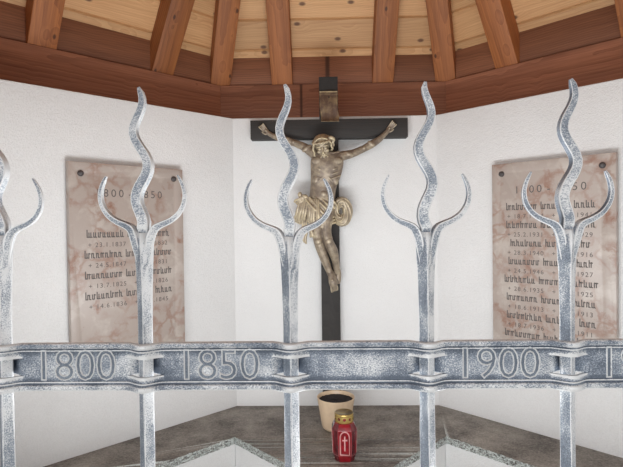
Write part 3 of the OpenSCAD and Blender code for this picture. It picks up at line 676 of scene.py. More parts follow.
def roof_timbers():
    jacks = []
    for x in (-JACK_OFF, JACK_OFF):
        jacks += all_round(jack_rafter(x))
    hand_over(join(jacks), "jack_rafter_timbers", RAFTER_WOOD, "rafter_timber", "jack_rafters")
    hips = join(all_round(hip_rafter()))
    hand_over(hips, "hip_rafter_timbers", RAFTER_WOOD, "rafter_timber", "hip_rafters")
    hand_over(king_post(), "king_post_timber", PLATE_WOOD, "plate_timber", "king_post")
    hand_over(filling_boards(), "filling_boards", BLOCK_WOOD, "blocking_timber", "blocking_boards")
    joint_at = 0.006 - 2 * BOARD_FACE + (OUTER_R - PLATE_R) / math.cos(PITCH)
    while joint_at > 0:
        joint_at -= BOARD_FACE
    deck = boarded_slope(PANEL_R, OUTER_R, deck_z, PITCH, joint_at, 0.005)
    hand_over(join(all_round(deck)), "roof_boards", BOARD_WOOD, "spruce_boarding", "roof_boarding")
    eaves = boarded_slope(SPROCKET_R, EAVES_R, eaves_z, EAVES_PITCH, 0, 0.0035)
    hand_over(join(all_round(eaves)), "eaves_boards", BOARD_WOOD, "spruce_boarding",
              "eaves_boarding")


# Masonry

def rendered(node, edge):
    """Rendered masonry with hand-rounded arrises, left sharp where it runs on round a corner"""
    piece = cad_copy(node)
    mesh = piece.data
    faces_of = {}
    for face in mesh.polygons:
        for key in face.edge_keys:
            faces_of.setdefault(key, []).append(face.normal)

    def arris(middle, way):
        off = (math.atan2(middle.x, middle.y) / TURN - 0.5) % 1
        return min(off, 1 - off) > 0.01

    sharp = {key for key, normals in faces_of.items()
             if len(normals) == 2 and normals[0].angle(normals[1]) > math.radians(30)}
    pick(piece, "EDGE", arris)
    edges = bmesh.from_edit_mesh(mesh)
    for e in edges.edges:
        key = tuple(sorted(v.index for v in e.verts))
        e.select_set(e.select and key in sharp)
    bpy.ops.mesh.bevel(offset=edge, segments=3)
    return hand_over(piece, node + "_render", RENDER, "render", node)


def masonry():
    for node in ("wall_back", "wall_back_left", "wall_back_right", "wall_left", "wall_right",
                 "ledge_base_left", "ledge_base_right", "altar_base"):
        rendered(node, 0.003)
    dress("floor_slab", 0.012, 30, "floor_slab_stone", FLOOR_STONE, "floor_stone")
    dress("post_blocks", 0.003, 30, "post_block_stones", BLOCK_STONE, "block_stone")


# Curved bars, limbs and folds

def poly_line(points, radii, dimensions):
    """A curve with straight parts through points, each with a radius"""
    data = bpy.data.curves.new("line", "CURVE")
    data.dimensions = dimensions
    spline = data.splines.new("POLY")
    spline.points.add(len(points) - 1)
    for point, at, r in zip(spline.points, points, radii):
        point.co = (*at, 1)
        point.radius = r
    line = bpy.data.objects.new("line", data)
    bpy.context.scene.collection.objects.link(line)
    return line


def round_section(sides):
    return [(math.cos(math.tau * i / sides), math.sin(math.tau * i / sides))
            for i in range(sides)]


def drawn_out(path, radii, outline):
    """A bar drawn out along a path, its section scaled at each point"""
    section = poly_line([(x, y, 0) for x, y in outline], [1] * len(outline), "2D")
    section.data.splines[0].use_cyclic_u = True
    bar = poly_line(path, radii, "3D")
    bar.data.bevel_mode = "OBJECT"
    bar.data.bevel_object = section
    bar.data.use_fill_caps = True
    take(bar)
    bpy.ops.object.convert(target="MESH")
    bpy.data.objects.remove(section)
    return face_out(bar)


def blend_path(knots, steps):
    """A smooth line of points and radii through knots (x, y, z, r)"""
    found = []
    last = len(knots) - 1
    for i in range(last):
        p0, p1 = Vector(knots[max(i - 1, 0)]), Vector(knots[i])
        p2, p3 = Vector(knots[i + 1]), Vector(knots[min(i + 2, last)])
        for k in range(steps):
            t = k / steps
            found.append(0.5 * (2 * p1 + (p2 - p0) * t + (2 * p0 - 5 * p1 + 4 * p2 - p3) * t * t
                                + (3 * p1 - p0 - 3 * p2 + p3) * t ** 3))
    found.append(Vector(knots[-1]))
    return found


# Grille

GRILLE_Y = -0.380
BAYS = 11
BAR_GAP = (2 * CLEAR_R - 2 * 0.069) / BAYS
BAR_SHIFT = 0.010
BAR_S = 0.012
BAR_R = BAR_S / math.sqrt(2)
BAR_LOW = 0.165
BAND_Z = 1.431
FORK_Z = 1.580
FLARE_H = 0.092
SPIKE_H = 0.155
SPIKE_WAVE = 0.008
BLUNT = 0.0022
BULGE_L = 0.022
BULGE_OUT = BAR_R + JOINT
WEB = 0.002


# From bar to bar, in millimetres: its place beside the even spacing, the lean of its tip and the
# rise of its fork; and where its waves begin, in degrees
BAR_SET = (0, 2, -3, -9, -4, 4, 0, -1, 3, -2, 1, 0)
TIP_LEAN = (2, -4, 1, -14, -3, -3, 1, 5, -2, 3, -3, 1)
FORK_RISE = (0, 1, -2, 2, 3, -3, 0, 1, -1, 2, 0, -2)
WAVE_START = (227, 122, 232, 227, 227, 232, 122, 215, 227, 122, 232, 215)


def bar_x(i):
    return (i - BAYS / 2) * BAR_GAP - BAR_SHIFT + BAR_SET[i] / 1000


def bulge_line(out):
    """Stations along the band: straight, and round every bar in a soft bump"""
    stations = [(-CLEAR_R, 0)]
    for i in range(BAYS + 1):
        for j in range(-6, 7):
            u = j / 6
            bump = 0.5 + 0.5 * math.cos(math.pi * u)
            stations.append((bar_x(i) + u * BULGE_L, out * bump))
    stations.append((CLEAR_R, 0))
    return stations


def grille_band():
    """The threaded band: its middle strip runs behind each bar, its two ridged rims in front"""
    mm = 0.001
    rim = [(2, 9.8), (2, 26), (-3.0, 26), (-4.0, 25.2), (-4.5, 23.6), (-4.4, 21.8),
           (-3.7, 20.4), (-2.2, 19.5), (-1.9, 18.7), (-2.7, 18.2), (-2.9, 17.4), (-2.3, 16.7),
           (-2.0, 16.2), (-2.0, 9.8)]
    foot = [(2, -9.8), (-2.0, -9.8), (-2.0, -16), (-2.8, -16.5), (-2.9, -17.4), (-2.0, -18.1),
            (-2.2, -19.2), (-3.8, -20.2), (-4.5, -21.6), (-4.5, -24.4), (-3.7, -26), (2, -26)]
    middle = [(2, -9.8), (2, 9.8), (-2, 9.8), (-2, 8.6), (-2, -8.6), (-2, -9.8)]
    strips = []
    for outline, out in ((rim, -BULGE_OUT - WEB), (foot, -BULGE_OUT - WEB),
                         (middle, BULGE_OUT + WEB)):
        profile = [(y * mm + GRILLE_Y, z * mm + BAND_Z) for y, z in outline]
        strips.append(sweep(profile, bulge_line(out)))
    band = strips[0]
    for strip in strips[1:]:
        work_in(band, strip, "UNION")
    mark_relief(band, 0, 2.4)
    shade_windows(band)
    hand_over(band, "grille_band_iron", IRON, "wrought_iron", "grille_band", angle=40)


def shade_windows(band):
    """Marks the strip behind each bar as a deep hollow, so that the iron is drawn dark there as
    painted shade
    """
    at = points_of(band)
    relief = read(band.data.attributes["relief"].data, "value")
    off = np.min([abs(at[:, 0] - bar_x(i)) for i in range(BAYS + 1)], axis=0) / BULGE_L
    share = np.clip(1.25 - 1.4 * off, 0, 1) * (abs(at[:, 2] - BAND_Z) < 0.009)
    point_values(band, "relief", relief * (1 - share) - 0.6 * share)


def quarters(points):
    """A closed section from the points of one quarter, turned round four times"""
    return [(x * c - y * s, x * s + y * c) for c, s in ((1, 0), (0, 1), (-1, 0), (0, -1))
            for x, y in points]


# A square section with eased corners, and one that stands on its edge with four ridges; both
# have points close to the corners, so that only these count as raised
EASED = quarters([(1, 0), (1, 0.74), (1, 0.88), (0.88, 1), (0.74, 1)])
RIDGED = quarters([(1, 0), (0.8, 0.24), (0.54, 0.54), (0.24, 0.8)])

# The line of a horn from inside the bar to its tip: x, y, z and radius in millimetres
HORN = ((4.0, -1.0, -44, 2.4), (6.0, -2.0, -24, 5.4), (8.4, -2.6, -11, 6.3), (12.5, -1.6, -2, 5.7),
        (19.5, -0.6, 2.5, 4.7), (28.5, 0, 6.4, 4.2), (37.5, 0, 13, 3.8), (44, 0, 23, 3.5),
        (46.2, 0, 34, 3.2), (44.6, 0, 44, 2.8), (41.2, 0, 52, 2.2), (39, 0, 56, 1.3))


def trident(lean, high, start):
    """A wavy spike of square section between two horns that are split from the bar"""
    spike, sizes = [], []
    root = 0.016
    for i in range(31):
        t = max(i - 3, 0) / 27
        wave = SPIKE_WAVE * (4 * t * (1 - t)) ** 0.6 * math.sin(math.radians(720 * t - start))
        down = root * (3 - i) / 3 if i < 3 else 0
        spike.append((lean * t + wave, 0.0015 if i < 3 else 0, t * high - down))
        sizes.append(BLUNT + (BAR_S / 2 - BLUNT) * math.sqrt(1 - t) - down * 0.2)
    sizes[-1] *= 0.7
    parts = [drawn_out(spike, sizes, EASED)]
    for s in (-1, 1):
        line = blend_path([(s * x / 1000, y / 1000, z / 1000, r / 1000) for x, y, z, r in HORN], 3)
        path = [(p[0] + 0.35 * lean * max(p[2], 0) / 0.056, p[1], p[2]) for p in line]
        parts.append(drawn_out(path, [p[3] for p in line], RIDGED))
    return join(parts)


def upright():
    """A square bar set diagonally, hammered a little uneven, that widens to its fork"""
    straight = FORK_Z - FLARE_H - BAR_LOW
    bar = solid(bpy.ops.mesh.primitive_cylinder_add, vertices=4, radius=BAR_R, depth=straight,
                location=(0, 0, BAR_LOW + straight / 2))
    pick(bar, "FACE", lambda middle, way: way.z > 0.9)
    for rise, share in ((0.030, 1.07), (0.022, 1.11), (0.018, 1.11), (0.010, 1.0), (0.006, 0.8)):
        bpy.ops.mesh.extrude_region_move(TRANSFORM_OT_translate={"value": (0, 0, rise)})
        bpy.ops.transform.resize(value=(share, share, 1))
    pick(bar, "EDGE", lambda middle, way: abs(way.z) > 0.9)
    bpy.ops.mesh.bevel(offset=0.0008, segments=2)
    for way in (Vector((1, 1, 0)).normalized(), Vector((1, -1, 0)).normalized()):
        for off in (-0.004, 0, 0.004):
            pick_all(bar)
            bpy.ops.mesh.bisect(plane_co=way * off, plane_no=way)
    for level in range(1, 50):
        pick_all(bar)
        bpy.ops.mesh.bisect(plane_co=(0, 0, BAR_LOW + level * 0.028), plane_no=(0, 0, 1))
    pick(bar, "VERT", lambda at, way: BAR_LOW + 0.07 < at.z < FORK_Z - 0.01)
    bpy.ops.transform.vertex_random(offset=0.0004, seed=4)
    clear()
    return bar


def grille_bars():
    first = upright()
    bars = []
    for i in range(BAYS + 1):
        lean, rise = TIP_LEAN[i] / 1000, FORK_RISE[i] / 1000
        bar = place(copy_of(first), moved(0, 0, rise))
        fork = place(trident(lean, SPIKE_H - rise, WAVE_START[i]), moved(0, 0, FORK_Z + rise))
        bars.append(place(join([bar, fork]), moved(bar_x(i), GRILLE_Y, 0)))
    bpy.data.objects.remove(first)
    piece = join(bars)
    mark_relief(piece, 0, 3.0)
    hand_over(piece, "grille_bars_iron", IRON_BAR, "wrought_iron", "grille_uprights", angle=35)


def grille_rail():
    rail = dress("grille_rail", 0.0012, 50, "grille_rail_iron", IRON, "wrought_iron")
    mark_relief(rail, 1, 1.0)


# The bays on either side of the blank one carry plain numbers
NUMBER_H = 0.0285
NUMBERS = {3: "1800", 4: "1850", 6: "1900", 7: "1950"}
BURR_R = 0.0008
CUT_T = 0.0004


def written(word, height, spacing, at, outline=0.0):
    """Plain numbers that face -Y about a point, as flat faces or as a raised outline"""
    clear()
    bpy.ops.object.text_add()
    text = bpy.context.object
    text.data.body = word
    text.data.size = height * 1.65
    text.data.align_x = "CENTER"
    text.data.align_y = "CENTER"
    text.data.space_character = spacing
    text.data.resolution_u = 3
    if outline:
        text.data.fill_mode = "NONE"
        text.data.bevel_depth = outline
        text.data.bevel_resolution = 0
    bpy.ops.object.convert(target="MESH")
    return place(text, moved(*at) @ turned(math.pi / 2, "X"))


def chiselled_numbers():
    """Each stroke is sunk and dark, with a raised bright burr round it"""
    faces, burrs = [], []
    for bay, word in NUMBERS.items():
        for outline, kind in ((0.0, faces), (BURR_R, burrs)):
            front = GRILLE_Y - WEB - (0.0001 if outline else 0.00015)
            at = ((bar_x(bay) + bar_x(bay + 1)) / 2, front, BAND_Z)
            kind.append(written(word, NUMBER_H, 0.98, at, outline))
    cut = join(faces)
    modify(cut, "SOLIDIFY", thickness=CUT_T, offset=-1)
    mark_relief(cut, 0, 0)
    hand_over(cut, "band_numbers_cut", IRON_DARK, "wrought_iron")
    burr = join(burrs)
    point_values(burr, "relief", 1)
    hand_over(burr, "band_numbers_burr", IRON, "wrought_iron", angle=60)


def wrought_iron(name, dark, paint, silver, bare):
    """Forged iron under a slate coat, brushed with silver on its ridges; faces turned to the right
    are painted lighter as a painted highlight, and hollows and the iron below the band are painted
    darker as painted shade
    """
    material, tree, shader = new_material(name, Roughness=0.45, Metallic=0.25)
    at = add(tree, "TexCoord", out="Object")
    relief = add(tree, "Attribute", attribute_name="relief", out="Fac")
    across = add(tree, "Mapping", {"Vector": at, "Scale": (0.7, 1.2, 1.2)})
    speck = add(tree, "TexNoise", {"Vector": across, "Scale": 820, "Detail": 3, "Roughness": 0.7})
    dab = add(tree, "TexNoise", {"Vector": at, "Scale": 38, "Detail": 3})
    blow = add(tree, "TexVoronoi", {"Vector": at, "Scale": 95}, feature="SMOOTH_F1")
    half = add(tree, "Math", {0: speck, 1: 0.65}, operation="MULTIPLY")
    mixed = add(tree, "Math", {0: dab, 1: 0.35, 2: half}, operation="MULTIPLY_ADD")
    # Faces turned to the right are painted lighter: a painted highlight of the light from the
    # right, added to the silver mottle
    facing = add(tree, "NewGeometry", out="Normal")
    right = add(tree, "SeparateXYZ", {0: facing}, out="X")
    mottle_and_right_highlight = add(tree, "Math", {0: right, 1: 0.08, 2: mixed}, operation="MULTIPLY_ADD")
    arris = add(tree, "MapRange", {"Value": relief, "From Min": 0.1, "From Max": 0.5, "To Min": 0,
                                   "To Max": 0.19})
    # Hollows, and the strip of the band behind each bar, are painted darker: painted shade
    hollow = add(tree, "MapRange", {"Value": relief, "From Min": -0.5, "From Max": -0.05,
                                    "To Min": -0.12, "To Max": 0})
    # Below the band the iron is painted darker, fading in over 15 cm: painted shade
    height_up = add(tree, "SeparateXYZ", {0: at}, out="Z")
    painted_shade_below_band = add(tree, "MapRange", {"Value": height_up, "From Min": BAND_Z - 0.15,
                                    "From Max": BAND_Z, "To Min": -0.045, "To Max": 0})
    shaped = add(tree, "Math", {0: arris, 1: hollow}, operation="ADD")
    upper = add(tree, "Math", {0: shaped, 1: painted_shade_below_band}, operation="ADD")
    proud = add(tree, "Math", {0: upper, 1: mottle_and_right_highlight}, operation="ADD")
    rubbed = add(tree, "ValToRGB", {"Fac": proud},
                 stops=[(0.38 - bare, dark), (0.50 - bare, paint), (0.60 - bare, silver)])
    height = add(tree, "Math", {0: blow, 1: 1.6, 2: speck}, operation="MULTIPLY_ADD")
    bump = add(tree, "Bump", {"Height": height, "Strength": 0.5, "Distance": 0.0008})
    feed(tree, shader, {"Base Color": rubbed, "Normal": bump})
    return material


IRON = wrought_iron("wrought_iron_rubbed", "#525c6a", "#828d9b", "#dde0e2", 0.0)
IRON_BAR = wrought_iron("wrought_iron_bars", "#66707d", "#8f99a5", "#dee1e3", 0.02)
IRON_DARK = wrought_iron("wrought_iron_in_the_cut", "#55606d", "#6b7683", "#8b959f", -0.04)


# Stone slabs

# How far the split edge lies out of true
SPLIT_DEEP = 0.0022


def ledge_slabs():
    for node in ("ledge_slab_left", "ledge_slab_right", "altar_slab"):
        piece = cad_copy(node)
        rough_front(piece)
        hand_over(piece, node + "_stone", LEDGE_STONE, "ledge_stone", node, angle=45)


def rough_front(piece):
    """Splits the free edge of a slab, not its joints: many small hollows and breaks"""
    def free(middle, way):
        oblique = (abs(middle.x) + middle.y) / math.sqrt(2)
        at_wall = max(middle.y, abs(middle.x), oblique) > CLEAR_R - 0.02
        joint = abs(way.x) > 0.9
        return abs(way.z) < 0.1 and not at_wall and not joint

    pick(piece, "FACE", free)
    bpy.ops.mesh.subdivide(number_cuts=3)
    for cuts in (4, 3):
        pick(piece, "FACE", free)
        bpy.ops.mesh.subdivide(number_cuts=cuts)
    pick(piece, "FACE", free)
    bpy.ops.mesh.select_mode(type="VERT")
    bpy.ops.mesh.select_less()
    bpy.ops.transform.vertex_random(offset=SPLIT_DEEP, seed=9)
    clear()


# Posts, sprockets and the outer roof

def post_timbers():
    for node in ("post_left", "post_right"):
        low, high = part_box(node)
        middle, size = (low + high) / 2, high - low
        piece = timber(size.z, size.x, size.y, edge=0.006)
        place(piece, moved(*middle) @ turned(math.pi / 2, "Y"))
        hand_over(piece, node + "_timber", PLATE_WOOD, "plate_timber", node)


def sprocket(stretch, drop):
    """A tapered piece on the boarding that lifts the eaves, sawn from one plank"""
    start = SPROCKET_R + drop / (math.tan(PITCH) - math.tan(EAVES_PITCH))
    outline = [(start, deck_top(start)), (EAVES_R, eaves_z(EAVES_R) - drop),
               (EAVES_R, eaves_z(EAVES_R) - drop - SPROCKET_TAIL), (OUTER_R, deck_top(OUTER_R))]
    profile = [(r * stretch, z) for r, z in outline]
    piece = sweep(profile, [(-SPROCKET_W / 2, 0), (SPROCKET_W / 2, 0)])
    pick(piece, "EDGE", lambda middle, way: abs(way.x) < 0.1)
    bpy.ops.mesh.bevel(offset=0.003, segments=2)
    return mark_turned_grain(piece, math.pi / 2, "Z")


def sprocket_timbers():
    drop = SPROCKET_W / 2 * math.sin(TURN / 2) * math.tan(EAVES_PITCH)
    pieces = []
    for x in (-JACK_OFF, JACK_OFF):
        pieces += all_round(place(sprocket(1, 0), moved(x, 0, 0)))
    pieces += all_round(place(sprocket(1 / CORNER_COS, drop), turned(TURN / 2)))
    hand_over(join(pieces), "sprocket_timbers", PLATE_WOOD, "plate_timber", "sprockets")


# Shingles are laid in courses, each shingle showing this much of its length
SHINGLE_SHOWN = 0.135
SHINGLE_LONG = 0.30
SHINGLE_T = 0.009


def shingle(width):
    """A split larch shingle, thin at its head, with a worn lower edge"""
    piece = cube((width - 0.003, SHINGLE_LONG, SHINGLE_T), (0, -SHINGLE_LONG / 2, SHINGLE_T / 2))
    pick(piece, "VERT", lambda at, way: at.y < -0.2 and at.z > 0.001)
    bpy.ops.transform.translate(value=(0, 0, -SHINGLE_T * 0.7))
    pick(piece, "EDGE", lambda middle, way: abs(way.x) > 0.9 and middle.y > -0.01
         and middle.z > 0.001)
    bpy.ops.mesh.bevel(offset=0.0025, segments=1)
    return mark_turned_grain(piece, math.pi / 2, "Z", pith=0.05)


def shingle_courses(stock, r_low, r_high, bed_z, pitch):
    """Courses of shingles up one slope of the back side, sawn to the hips"""
    laid = []
    tilt = math.atan(SHINGLE_T * 0.8 / SHINGLE_SHOWN)
    length = (r_low - r_high) / math.cos(pitch)
    for course in range(math.ceil(length / SHINGLE_SHOWN)):
        up = course * SHINGLE_SHOWN
        r = r_low - up * math.cos(pitch)
        reach = r * HALF_TAN
        x = -reach - chance.uniform(0, 0.05)
        while x < reach:
            kind = chance.randrange(len(stock))
            width = stock[kind][1]
            piece = other_board(copy_of(stock[kind][0]))
            slip = chance.uniform(-0.004, 0.004)
            place(piece, slope_matrix(r, bed_z(r), pitch) @ moved(x + width / 2, slip, 0.001)
                  @ turned(tilt, "X"))
            laid.append(piece)
            x += width
    row = join(laid)
    trim(row, (0, r_high, 0), (0, -1, 0))
    return mitre_trim(row, 0.0)


def bedding(rings):
    """A thin closed octagonal bed under the shingles, from a profile of distances and heights"""
    first_r, first_z = rings[0]
    piece = solid(bpy.ops.mesh.primitive_circle_add, vertices=SIDES, radius=first_r / CORNER_COS,
                  location=(0, 0, first_z), rotation=(0, 0, TURN / 2))
    pick(piece, "VERT", lambda at, way: True)
    draw_up(rings)
    bpy.ops.mesh.select_all(action="SELECT")
    bpy.ops.mesh.remove_doubles(threshold=0.0001)
    return face_out(piece)


def shingle_roof():
    bed = 0.012
    bed_v = bed / math.cos(PITCH)
    bed_ev = bed / math.cos(EAVES_PITCH)
    board_ev = BOARD_T / math.cos(EAVES_PITCH)
    stock = [(shingle(width), width) for width in (0.085, 0.105, 0.125)]

    def steep_bed(r):
        return deck_top(r) + bed_v

    def eaves_bed(r):
        return eaves_z(r) + board_ev + bed_ev

    break_r = (steep_bed(0) - eaves_bed(0)) / (math.tan(PITCH) - math.tan(EAVES_PITCH))
    eaves = shingle_courses(stock, COVER_R - 0.009, break_r, eaves_bed, EAVES_PITCH)
    steep = shingle_courses(stock, break_r + 0.03, PANEL_R + 0.002, steep_bed, PITCH)
    rings = [(COVER_R - 0.012, eaves_bed(COVER_R - 0.012) - bed_ev),
             (SPROCKET_R, eaves_bed(SPROCKET_R) - bed_ev), (SPROCKET_R, deck_top(SPROCKET_R)),
             (PANEL_R, deck_top(PANEL_R)), (PANEL_R, steep_bed(PANEL_R)),
             (break_r, steep_bed(break_r)), (COVER_R - 0.012, eaves_bed(COVER_R - 0.012)),
             (COVER_R - 0.012, eaves_bed(COVER_R - 0.012) - bed_ev)]
    base = mark_grain(bedding(rings))
    cover = join([base] + all_round(steep) + all_round(eaves))
    for piece, width in stock:
        bpy.data.objects.remove(piece)
    hand_over(cover, "larch_shingles", SHINGLE_WOOD, "shingles", "shingle_covering")


def sheet_lead(name, bright, dull):
    """Beaten sheet lead: soft grey, matt, with pale bloom"""
    material, tree, shader = new_material(name, Roughness=0.55, Metallic=0.6)
    at = add(tree, "TexCoord", out="Object")
    bloom = add(tree, "TexNoise", {"Vector": at, "Scale": 22, "Detail": 5})
    mixed = add(tree, "ValToRGB", {"Fac": bloom}, stops=[(0.35, dull), (0.7, bright)])
    bump = add(tree, "Bump", {"Height": bloom, "Strength": 0.4, "Distance": 0.002})
    feed(tree, shader, {"Base Color": mixed, "Normal": bump})
    return material


SHINGLE_WOOD = wood("weathered_larch_shingle", ("#8d8478", "#5c5248"), 0.8, 4, "#453c34", 0.6, 1.0)
LEAD = sheet_lead("beaten_sheet_lead", "#8b9196", "#5f656a")


# Crucifix

CROSS_X = -0.020
CROSS_Y = 0.855
CROSS_W = 0.067
CROSS_T = 0.045
CROSS_TOP = 2.115
BEAM_Z = 1.931
BEAM_L = 0.562
TITULUS_Z = 2.007


def cross_timbers():
    """Two timbers halved into each other, the beam in front"""
    height = CROSS_TOP - LEDGE_Z
    post = timber(height, CROSS_W, CROSS_T, edge=0.001)
    place(post, moved(CROSS_X, CROSS_Y + CROSS_T / 2, LEDGE_Z + height / 2)
          @ turned(math.pi / 2) @ turned(math.pi / 2, "Y"))
    beam = timber(BEAM_L, CROSS_T, CROSS_W, edge=0.001)
    place(beam, moved(CROSS_X, CROSS_Y + CROSS_T / 2, BEAM_Z))
    snug = CROSS_W + 2 * JOINT
    notches = ((post, CROSS_Y, CROSS_W * 2, snug), (beam, CROSS_Y + CROSS_T, snug, CROSS_W * 2))
    for piece, face, wide, high in notches:
        work_in(piece, cube((wide, CROSS_T + 2 * JOINT, high), (CROSS_X, face, BEAM_Z)))
    hand_over(post, "cross_upright_timber", CROSS_WOOD, "cross_wood", "cross_upright")
    hand_over(beam, "cross_beam_timber", CROSS_WOOD, "cross_wood", "cross_beam")


def titulus():
    """A bronze scroll: a sheet with its upper end rolled forward and its lower end curling up"""
    line = [(-1.0, 43), (-6, 47.5), (-11.0, 50), (-11.5, 53), (-7, 54), (-2.5, 52), (-1.2, 47),
            (-1.8, 38), (-3.2, 24), (-4.2, 6), (-3.4, -14), (-2.0, -32), (-3.0, -44), (-7.5, -51),
            (-9.5, -52.5)]
    thick = 1.3
    front, back = [], []
    for i, (y, z) in enumerate(line):
        a, b = Vector(line[max(i - 1, 0)]), Vector(line[min(i + 1, len(line) - 1)])
        side = Vector((b.y - a.y, a.x - b.x)).normalized() * thick / 2
        front.append(((y + side.x) / 1000, (z + side.y) / 1000))
        back.append(((y - side.x) / 1000, (z - side.y) / 1000))
    profile = [(y + CROSS_Y, z + TITULUS_Z) for y, z in front + back[::-1]]
    half = 0.032
    stations = [(CROSS_X - half + half * i / 5, 0.0006 * math.sin(i * 1.9)) for i in range(11)]
    plate = sweep(profile, stations)
    pick(plate, "VERT", lambda at, way: at.z < TITULUS_Z - 0.02)
    bpy.ops.transform.translate(value=(0.005, 0, 0))
    pick(plate, "VERT", lambda at, way: True)
    bpy.ops.transform.vertex_random(offset=0.0005, seed=2)
    nail = solid(bpy.ops.mesh.primitive_uv_sphere_add, segments=12, ring_count=8, radius=0.0035,
                 location=(CROSS_X + 0.001, CROSS_Y - 0.004, TITULUS_Z + 0.034))
    # The relief also gives the scroll a painted highlight on raised forms
    mark_relief(plate, 1, 0.8)
    point_values(plate, "gilt", points_of(plate)[:, 2] > TITULUS_Z + 0.051)
    point_values(nail, "relief", -1)
    point_values(nail, "gilt", 0)
    piece = join([plate, nail])
    hand_over(piece, "titulus_scroll", SCROLL, "gilt_bronze", "titulus", angle=50)


# The figure is modelled in millimetres from the crossing of the timbers, then cast in place
CAST_VOXEL = 1.5


def lump(at, half, lean=0.0):
    """A rounded form with its three half sizes, leaning in the picture plane"""
    piece = solid(bpy.ops.mesh.primitive_uv_sphere_add, half, segments=20, ring_count=12, radius=1)
    return place(piece, moved(*at) @ turned(math.radians(lean), "Y"))


def limb(*knots, sides=12, steps=4):
    line = blend_path(knots, steps)
    return drawn_out([p[:3] for p in line], [p[3] for p in line], round_section(sides))


def lock(*knots, wave=1.6, turns=2.5, start=0.0):
    """A lock of hair or beard: a thin limb with a wave in it"""
    line = blend_path(knots, 6)
    path = []
    for i, p in enumerate(line):
        phase = math.tau * turns * i / (len(line) - 1) + start
        path.append((p[0] + wave * math.cos(phase), p[1] + wave * 0.6 * math.sin(phase), p[2]))
    return drawn_out(path, [p[3] for p in line], round_section(7))


def torso():
    """Chest to hips, drawn down from ring to ring (height, middle x and y, half width and depth)"""
    rings = [(-86, -14, -44, 20, 15), (-96, -10, -42, 46, 20), (-110, -8, -42, 57, 25),
             (-128, -8, -43, 59, 29), (-152, -10, -42, 56, 29), (-180, -14, -40, 53, 26),
             (-199, -19, -38, 47, 22), (-230, -26, -38, 45, 22), (-262, -27, -38, 46, 26),
             (-288, -27, -38, 40, 22)]
    z, x, y, wide, deep = rings[0]
    piece = solid(bpy.ops.mesh.primitive_circle_add, (wide, deep, 1), vertices=28, radius=1,
                  fill_type="NGON", location=(x, y, z))
    pick_all(piece)
    for a, b in zip(rings, rings[1:]):
        step = (b[1] - a[1], b[2] - a[2], b[0] - a[0])
        bpy.ops.mesh.extrude_region_move(TRANSFORM_OT_translate={"value": step})
        bpy.ops.transform.resize(value=(b[3] / a[3], b[4] / a[4], 1),
                                 center_override=(b[1], b[2], b[0]))
    modify(face_out(piece), "SUBSURF", levels=1)
    forms = [piece,
             lump((-34, -60, -124), (28, 8, 15), 8), lump((16, -60, -126), (28, 8, 15), -8),
             lump((-9, -57, -160), (30, 12, 22)),
             lump((-45, -54, -184), (12, 9, 20), 24), lump((16, -54, -186), (12, 9, 22), -24),
             lump((-24, -49, -222), (24, 12, 26)), lump((-22, -56, -236), (13, 7, 12))]
    for s, x in ((-1, -36), (1, 18)):
        for rib in range(3):
            z = -148 - 15 * rib
            forms.append(limb((x - s * 12, -64.6 + rib, z - 8, 2.4),
                              (x + s * 2, -65 + rib * 2, z - 3, 3.2),
                              (x + s * 20, -50.5, z + 5, 3), sides=8))
        forms.append(limb((-9, -57, -94, 3.5), (-9 + s * 22, -58, -96, 3.6),
                          (-9 + s * 44, -43, -90, 5), sides=8))
        forms.append(limb((-15 + s * 3, -61, -172, 3.4), (-15 + s * 16, -61, -186, 4.2),
                          (-15 + s * 34, -49, -206, 4.6), sides=8))
    return forms


def arms():
    forms = [limb((-30, -42, -112, 22), (-60, -34, -90, 17.5), (-92, -28, -67, 14.5),
                  (-124, -22, -53, 12.5), (-150, -19, -44, 13.6), (-180, -15, -33, 11.2),
                  (-205, -12, -22, 8.6), (-222, -10, -10, 8)),
             limb((14, -42, -118, 22), (44, -34, -104, 17.5), (80, -28, -95, 14.5),
                  (120, -22, -78, 12.5), (148, -19, -63, 13.8), (176, -15, -45, 11.2),
                  (198, -12, -25, 8.6), (212, -10, -10, 8)),
             lump((-78, -38, -76), (20, 10, 10), -32), lump((66, -38, -98), (20, 10, 10), 12),
             lump((-56, -40, -90), (16, 13, 15)), lump((40, -40, -105), (16, 13, 15)),
             lump((-126, -31, -52), (7, 6, 7)), lump((122, -31, -77), (7, 6, 7)),
             lump((-152, -28, -44), (16, 7, 9), -18), lump((148, -28, -62), (16, 7, 9), 28)]
    forms += hand((-217, -11, -15), -132)
    forms += hand((207, -11, -14), -48)
    return forms


def hand(wrist, heading):
    """An open hand with bent fingers and a nail through the palm, headed in the picture plane"""
    mirror = 1 if abs(heading) > 90 else -1
    parts = [lump((9, 0, 0), (12, 4.6, 9.5))]
    for i in range(4):
        z = (i - 1.5) * 5.2
        bend = 7 + 3 * abs(i - 1)
        parts.append(limb((13, -1, z * 0.8, 3.3), (22, -2, z, 3), (30, -bend * 0.5, z * 1.15, 2.7),
                          (36, -bend, z * 1.2, 2.2), sides=8))
    parts.append(limb((0, -2, mirror * 7, 3.5), (8, -5, mirror * 12, 3.2),
                      (17, -8, mirror * 13, 2.5), sides=8))
    parts.append(lump((10, -6.5, 0), (3.4, 2.4, 3.4)))
    matrix = moved(*wrist) @ turned(math.radians(heading), "Y")
    return [place(part, matrix) for part in parts]


